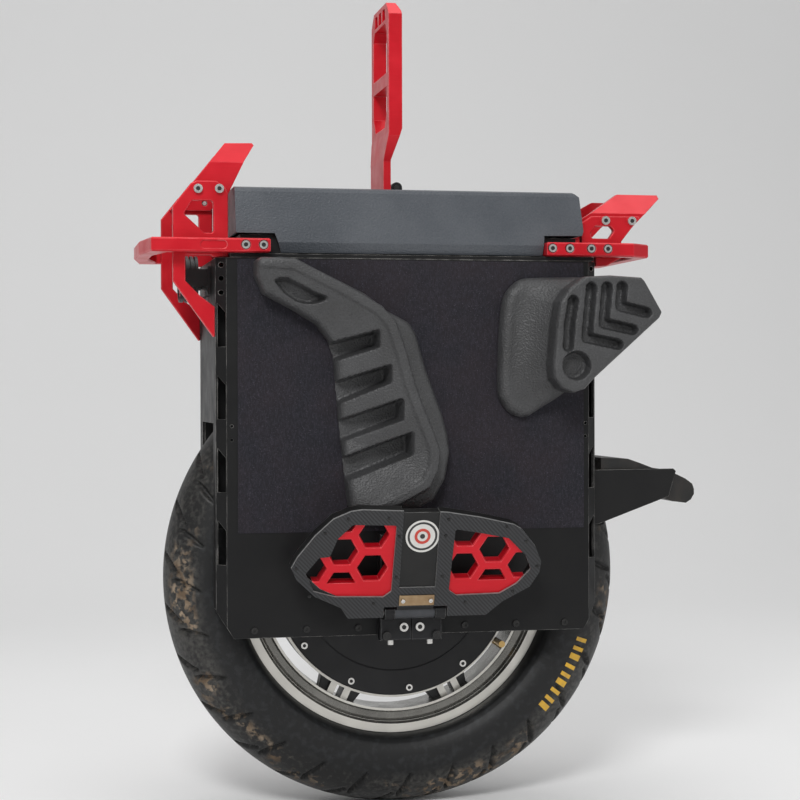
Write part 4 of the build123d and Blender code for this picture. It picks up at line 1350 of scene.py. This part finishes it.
# ---------------------------------------------------------------- pedals
@dataclass
class PedalTrim:
    """Badge, nameplate and small screws on the underside of a folded pedal."""

    lean: float = 18.0
    face: float = 8.0
    badge: tuple[float, float, float] = (2.0, 87.4, 17.6)
    plate_low: float = 11.2
    plate_high: float = 22.8
    plate_half: float = 18.6
    screws: Outline = ((-76, 108), (-34, 108), (-99, 93), (-127, 55), (-112, 24), (-45, 14),
                       (52, 13), (102, 24),
                       (28, 106), (90, 97), (112, 80), (126, 52), (-22.5, 88), (-22.5, 43),
                       (26, 88), (26, 43))

    def at(self, x: float, v: float, out: float, side: int) -> Vector:
        """Point on the folded pedal: x to the rear, v away from the hinge, out of its face.

        Args:
            x: Distance behind the axle, in millimetres.
            v: Distance from the hinge, in millimetres.
            out: Distance out of the pedal's face, in millimetres.
            side: LEFT or RIGHT.

        Returns:
            The point, in metres.
        """
        lean = math.radians(self.lean)
        hinge = middle("pedal_hinge_pins")
        lug_low, lug_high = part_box("pedal_hinge_pins")
        reach = (lug_high.y - lug_low.y) / 2 / MILLI - 3.0
        y = reach + v * math.sin(lean) + out * math.cos(lean)
        z = hinge.z / MILLI + v * math.cos(lean) - out * math.sin(lean)
        return mm(x, side * y, z)

    def disc(self, name: str, inner: float, outer: float, low: float, high: float, side: int,
             finish: object) -> bpy.types.Object:
        """Flat ring on the arm, about the badge's middle.

        Args:
            name: Name of the piece.
            inner: Inner radius.
            outer: Outer radius.
            low: Where it starts, out of the face.
            high: Where it ends, out of the face.
            side: LEFT or RIGHT.
            finish: Its finish.

        Returns:
            The ring.
        """
        x, v, _ = self.badge
        points, faces = [], []
        count = 64
        for step in range(count):
            turn = 2 * math.pi * step / count
            for radius, out in ((inner, low), (outer, low), (outer, high), (inner, high)):
                points.append(self.at(x + radius * math.cos(turn), v + radius * math.sin(turn), out,
                                      side))
        for step in range(count):
            a, b = step * 4, (step + 1) % count * 4
            faces += [(a + k, a + (k + 1) % 4, b + (k + 1) % 4, b + k) for k in range(4)]
        return new_piece(name, points, faces, finish, smooth=False)

    def slab(self, name: str, box: Sequence[float], bevel: float, side: int,
             finish: object) -> bpy.types.Object:
        """Rounded slab on the pedal, from x0, x1, v0, v1, out0 and out1.

        Args:
            name: Name of the piece.
            box: The six numbers, in millimetres.
            bevel: Width of the rounded edges, in millimetres.
            side: LEFT or RIGHT.
            finish: Its finish.

        Returns:
            The slab.
        """
        x0, x1, v0, v1, low, high = box
        corners = [(x0, v0), (x1, v0), (x1, v1), (x0, v1)]
        points = [self.at(x, v, out, side) for out in (low, high) for x, v in corners]
        faces = [(0, 1, 2, 3), (7, 6, 5, 4),
                 *[(k, (k + 1) % 4, (k + 1) % 4 + 4, k + 4) for k in range(4)]]
        piece = new_piece(name, points, faces, finish, smooth=False)
        edge = piece.modifiers.new("edge", "BEVEL")
        edge.width = bevel * MILLI
        edge.segments = 3
        return bake(piece)

    def build(self, side: int, screws: ScrewPattern) -> None:
        """Make the trim of one pedal.

        Args:
            side: LEFT or RIGHT.
            screws: The pattern that draws the screws.
        """
        where = SIDE_NAMES[side]
        body = f"pedal_{where}"
        rings = ((0.2, 17.6, 5.9, 6.5, BADGE_BLACK), (15.6, 17.6, 6.4, 6.9, BADGE_WHITE),
                 (0.2, 13.2, 6.4, 6.8, BADGE_WHITE), (5.5, 8.3, 6.7, 7.1, BADGE_RED),
                 (0.2, 2.6, 6.7, 7.1, BADGE_BLACK))
        for number, (inner, outer, low, high, finish) in enumerate(rings):
            piece = self.disc(f"pedal_badge_{number}_{where}", inner, outer, low, high, side,
                              finish)
            place_piece(piece, body)
        plate = self.slab(f"nameplate_{where}", (-self.plate_half, self.plate_half, self.plate_low,
                                                 self.plate_high, 7.9, 9.6), 1.0, side, BRONZE)
        place_piece(plate, body)
        axis = self.at(0, 0, 1, side) - self.at(0, 0, 0, side)
        spots = [self.at(a, b, self.face + 0.2, side) for a, b in self.screws]
        piece = screws.make(f"pedal_screws_{where}", spots, axis, 0.0017, 0.0008, 0.0008,
                            BLACK_SCREW)
        place_piece(piece, body)
        spots = [self.at(sign * 14.6, (self.plate_low + self.plate_high) / 2, 10.1, side)
                 for sign in (-1, 1)]
        piece = screws.make(f"nameplate_screws_{where}", spots, axis, 0.0024, 0.0012, 0.0012,
                            STAINLESS)
        place_piece(piece, body)


# ---------------------------------------------------------------- stage
def add_light(name: str, place: Vector, aim: Vector, size: float, power: float) -> None:
    """Soft square light aimed at a point.

    Args:
        name: Its name.
        place: Its middle.
        aim: The point it faces.
        size: Width, in metres.
        power: Power, in watts.
    """
    data = bpy.data.lights.new(name, "AREA")
    data.size = size
    data.energy = power
    light = bpy.data.objects.new(name, data)
    bpy.context.scene.collection.objects.link(light)
    light.location = place
    light.rotation_mode = "QUATERNION"
    light.rotation_quaternion = (aim - place).to_track_quat("-Z", "Y")


def set_stage() -> None:
    """Pale sweep, soft light from above and a camera at the rider's left."""
    reach, back, rise, bend = 9.0, 3.2, 6.0, 1.6
    profile = [(-reach, 0.0), (back - bend, 0.0)]
    for step in range(1, 13):
        turn = math.radians(step * 90 / 12)
        profile.append((back - bend + bend * math.sin(turn), bend * (1 - math.cos(turn))))
    profile.append((back, rise))
    points = [(x, y, z) for x in (-reach, reach) for y, z in profile]
    count = len(profile)
    faces = [(k, k + count, k + count + 1, k + 1) for k in range(count - 1)]
    sweep = new_piece("sweep", points, faces, FLOOR_PAPER)
    world = bpy.data.worlds.new("studio")
    bpy.context.scene.world = world
    world.use_nodes = True
    world.node_tree.nodes["Background"].inputs["Color"].default_value = (1.0, 1.0, 1.0, 1.0)
    world.node_tree.nodes["Background"].inputs["Strength"].default_value = 0.40
    aim = Vector((0.0, 0.0, 0.45))
    add_light("key", Vector((-0.9, -2.4, 2.2)), aim, 0.8, 47.0)
    add_light("fill", Vector((2.4, -2.0, 1.2)), aim, 1.4, 9.0)
    add_light("top", Vector((0.2, 0.3, 2.8)), aim, 2.0, 24.0)
    place, yaw, pitch, roll = Vector((-0.43188, -2.00655, 0.45248)), 11.58, 0.37, -0.14
    data = bpy.data.cameras.new("camera")
    data.lens = 83.57
    data.sensor_width = 36.0
    camera = bpy.data.objects.new("camera", data)
    bpy.context.scene.collection.objects.link(camera)
    turn, down, tilt = (math.radians(v) for v in (yaw, pitch, roll))
    ahead = Vector((math.sin(turn) * math.cos(down), math.cos(turn) * math.cos(down),
                    -math.sin(down)))
    right = Vector((math.cos(turn), -math.sin(turn), 0.0))
    up = right.cross(ahead)
    right, up = right * math.cos(tilt) + up * math.sin(tilt), up * math.cos(tilt) - right * math.sin(tilt)
    pose = Matrix((right, up, -ahead)).transposed().to_4x4()
    pose.translation = place
    camera.matrix_world = pose
    bpy.context.scene.camera = camera
    bpy.context.scene.view_settings.view_transform = "Standard"


def main() -> None:
    """Build every sub-assembly in order."""
    logging.basicConfig(level=logging.INFO, format="%(name)s %(message)s")
    set_stage()
    dress_frame()
    screws = ScrewPattern()
    detail_frame()
    Tyre().build()
    WheelTrim().build()
    fill_sockets("motor_cover_screws", "wheel", screws)
    fill_sockets("guard_screws", "chassis", screws)
    fill_sockets("hanger_bolts", "chassis", screws, 0.19)
    for side in (LEFT, RIGHT):
        ShinPad().build(side)
        HeelPad().build(side)
        PedalTrim().build(side, screws)


if __name__ == "__main__":
    main()
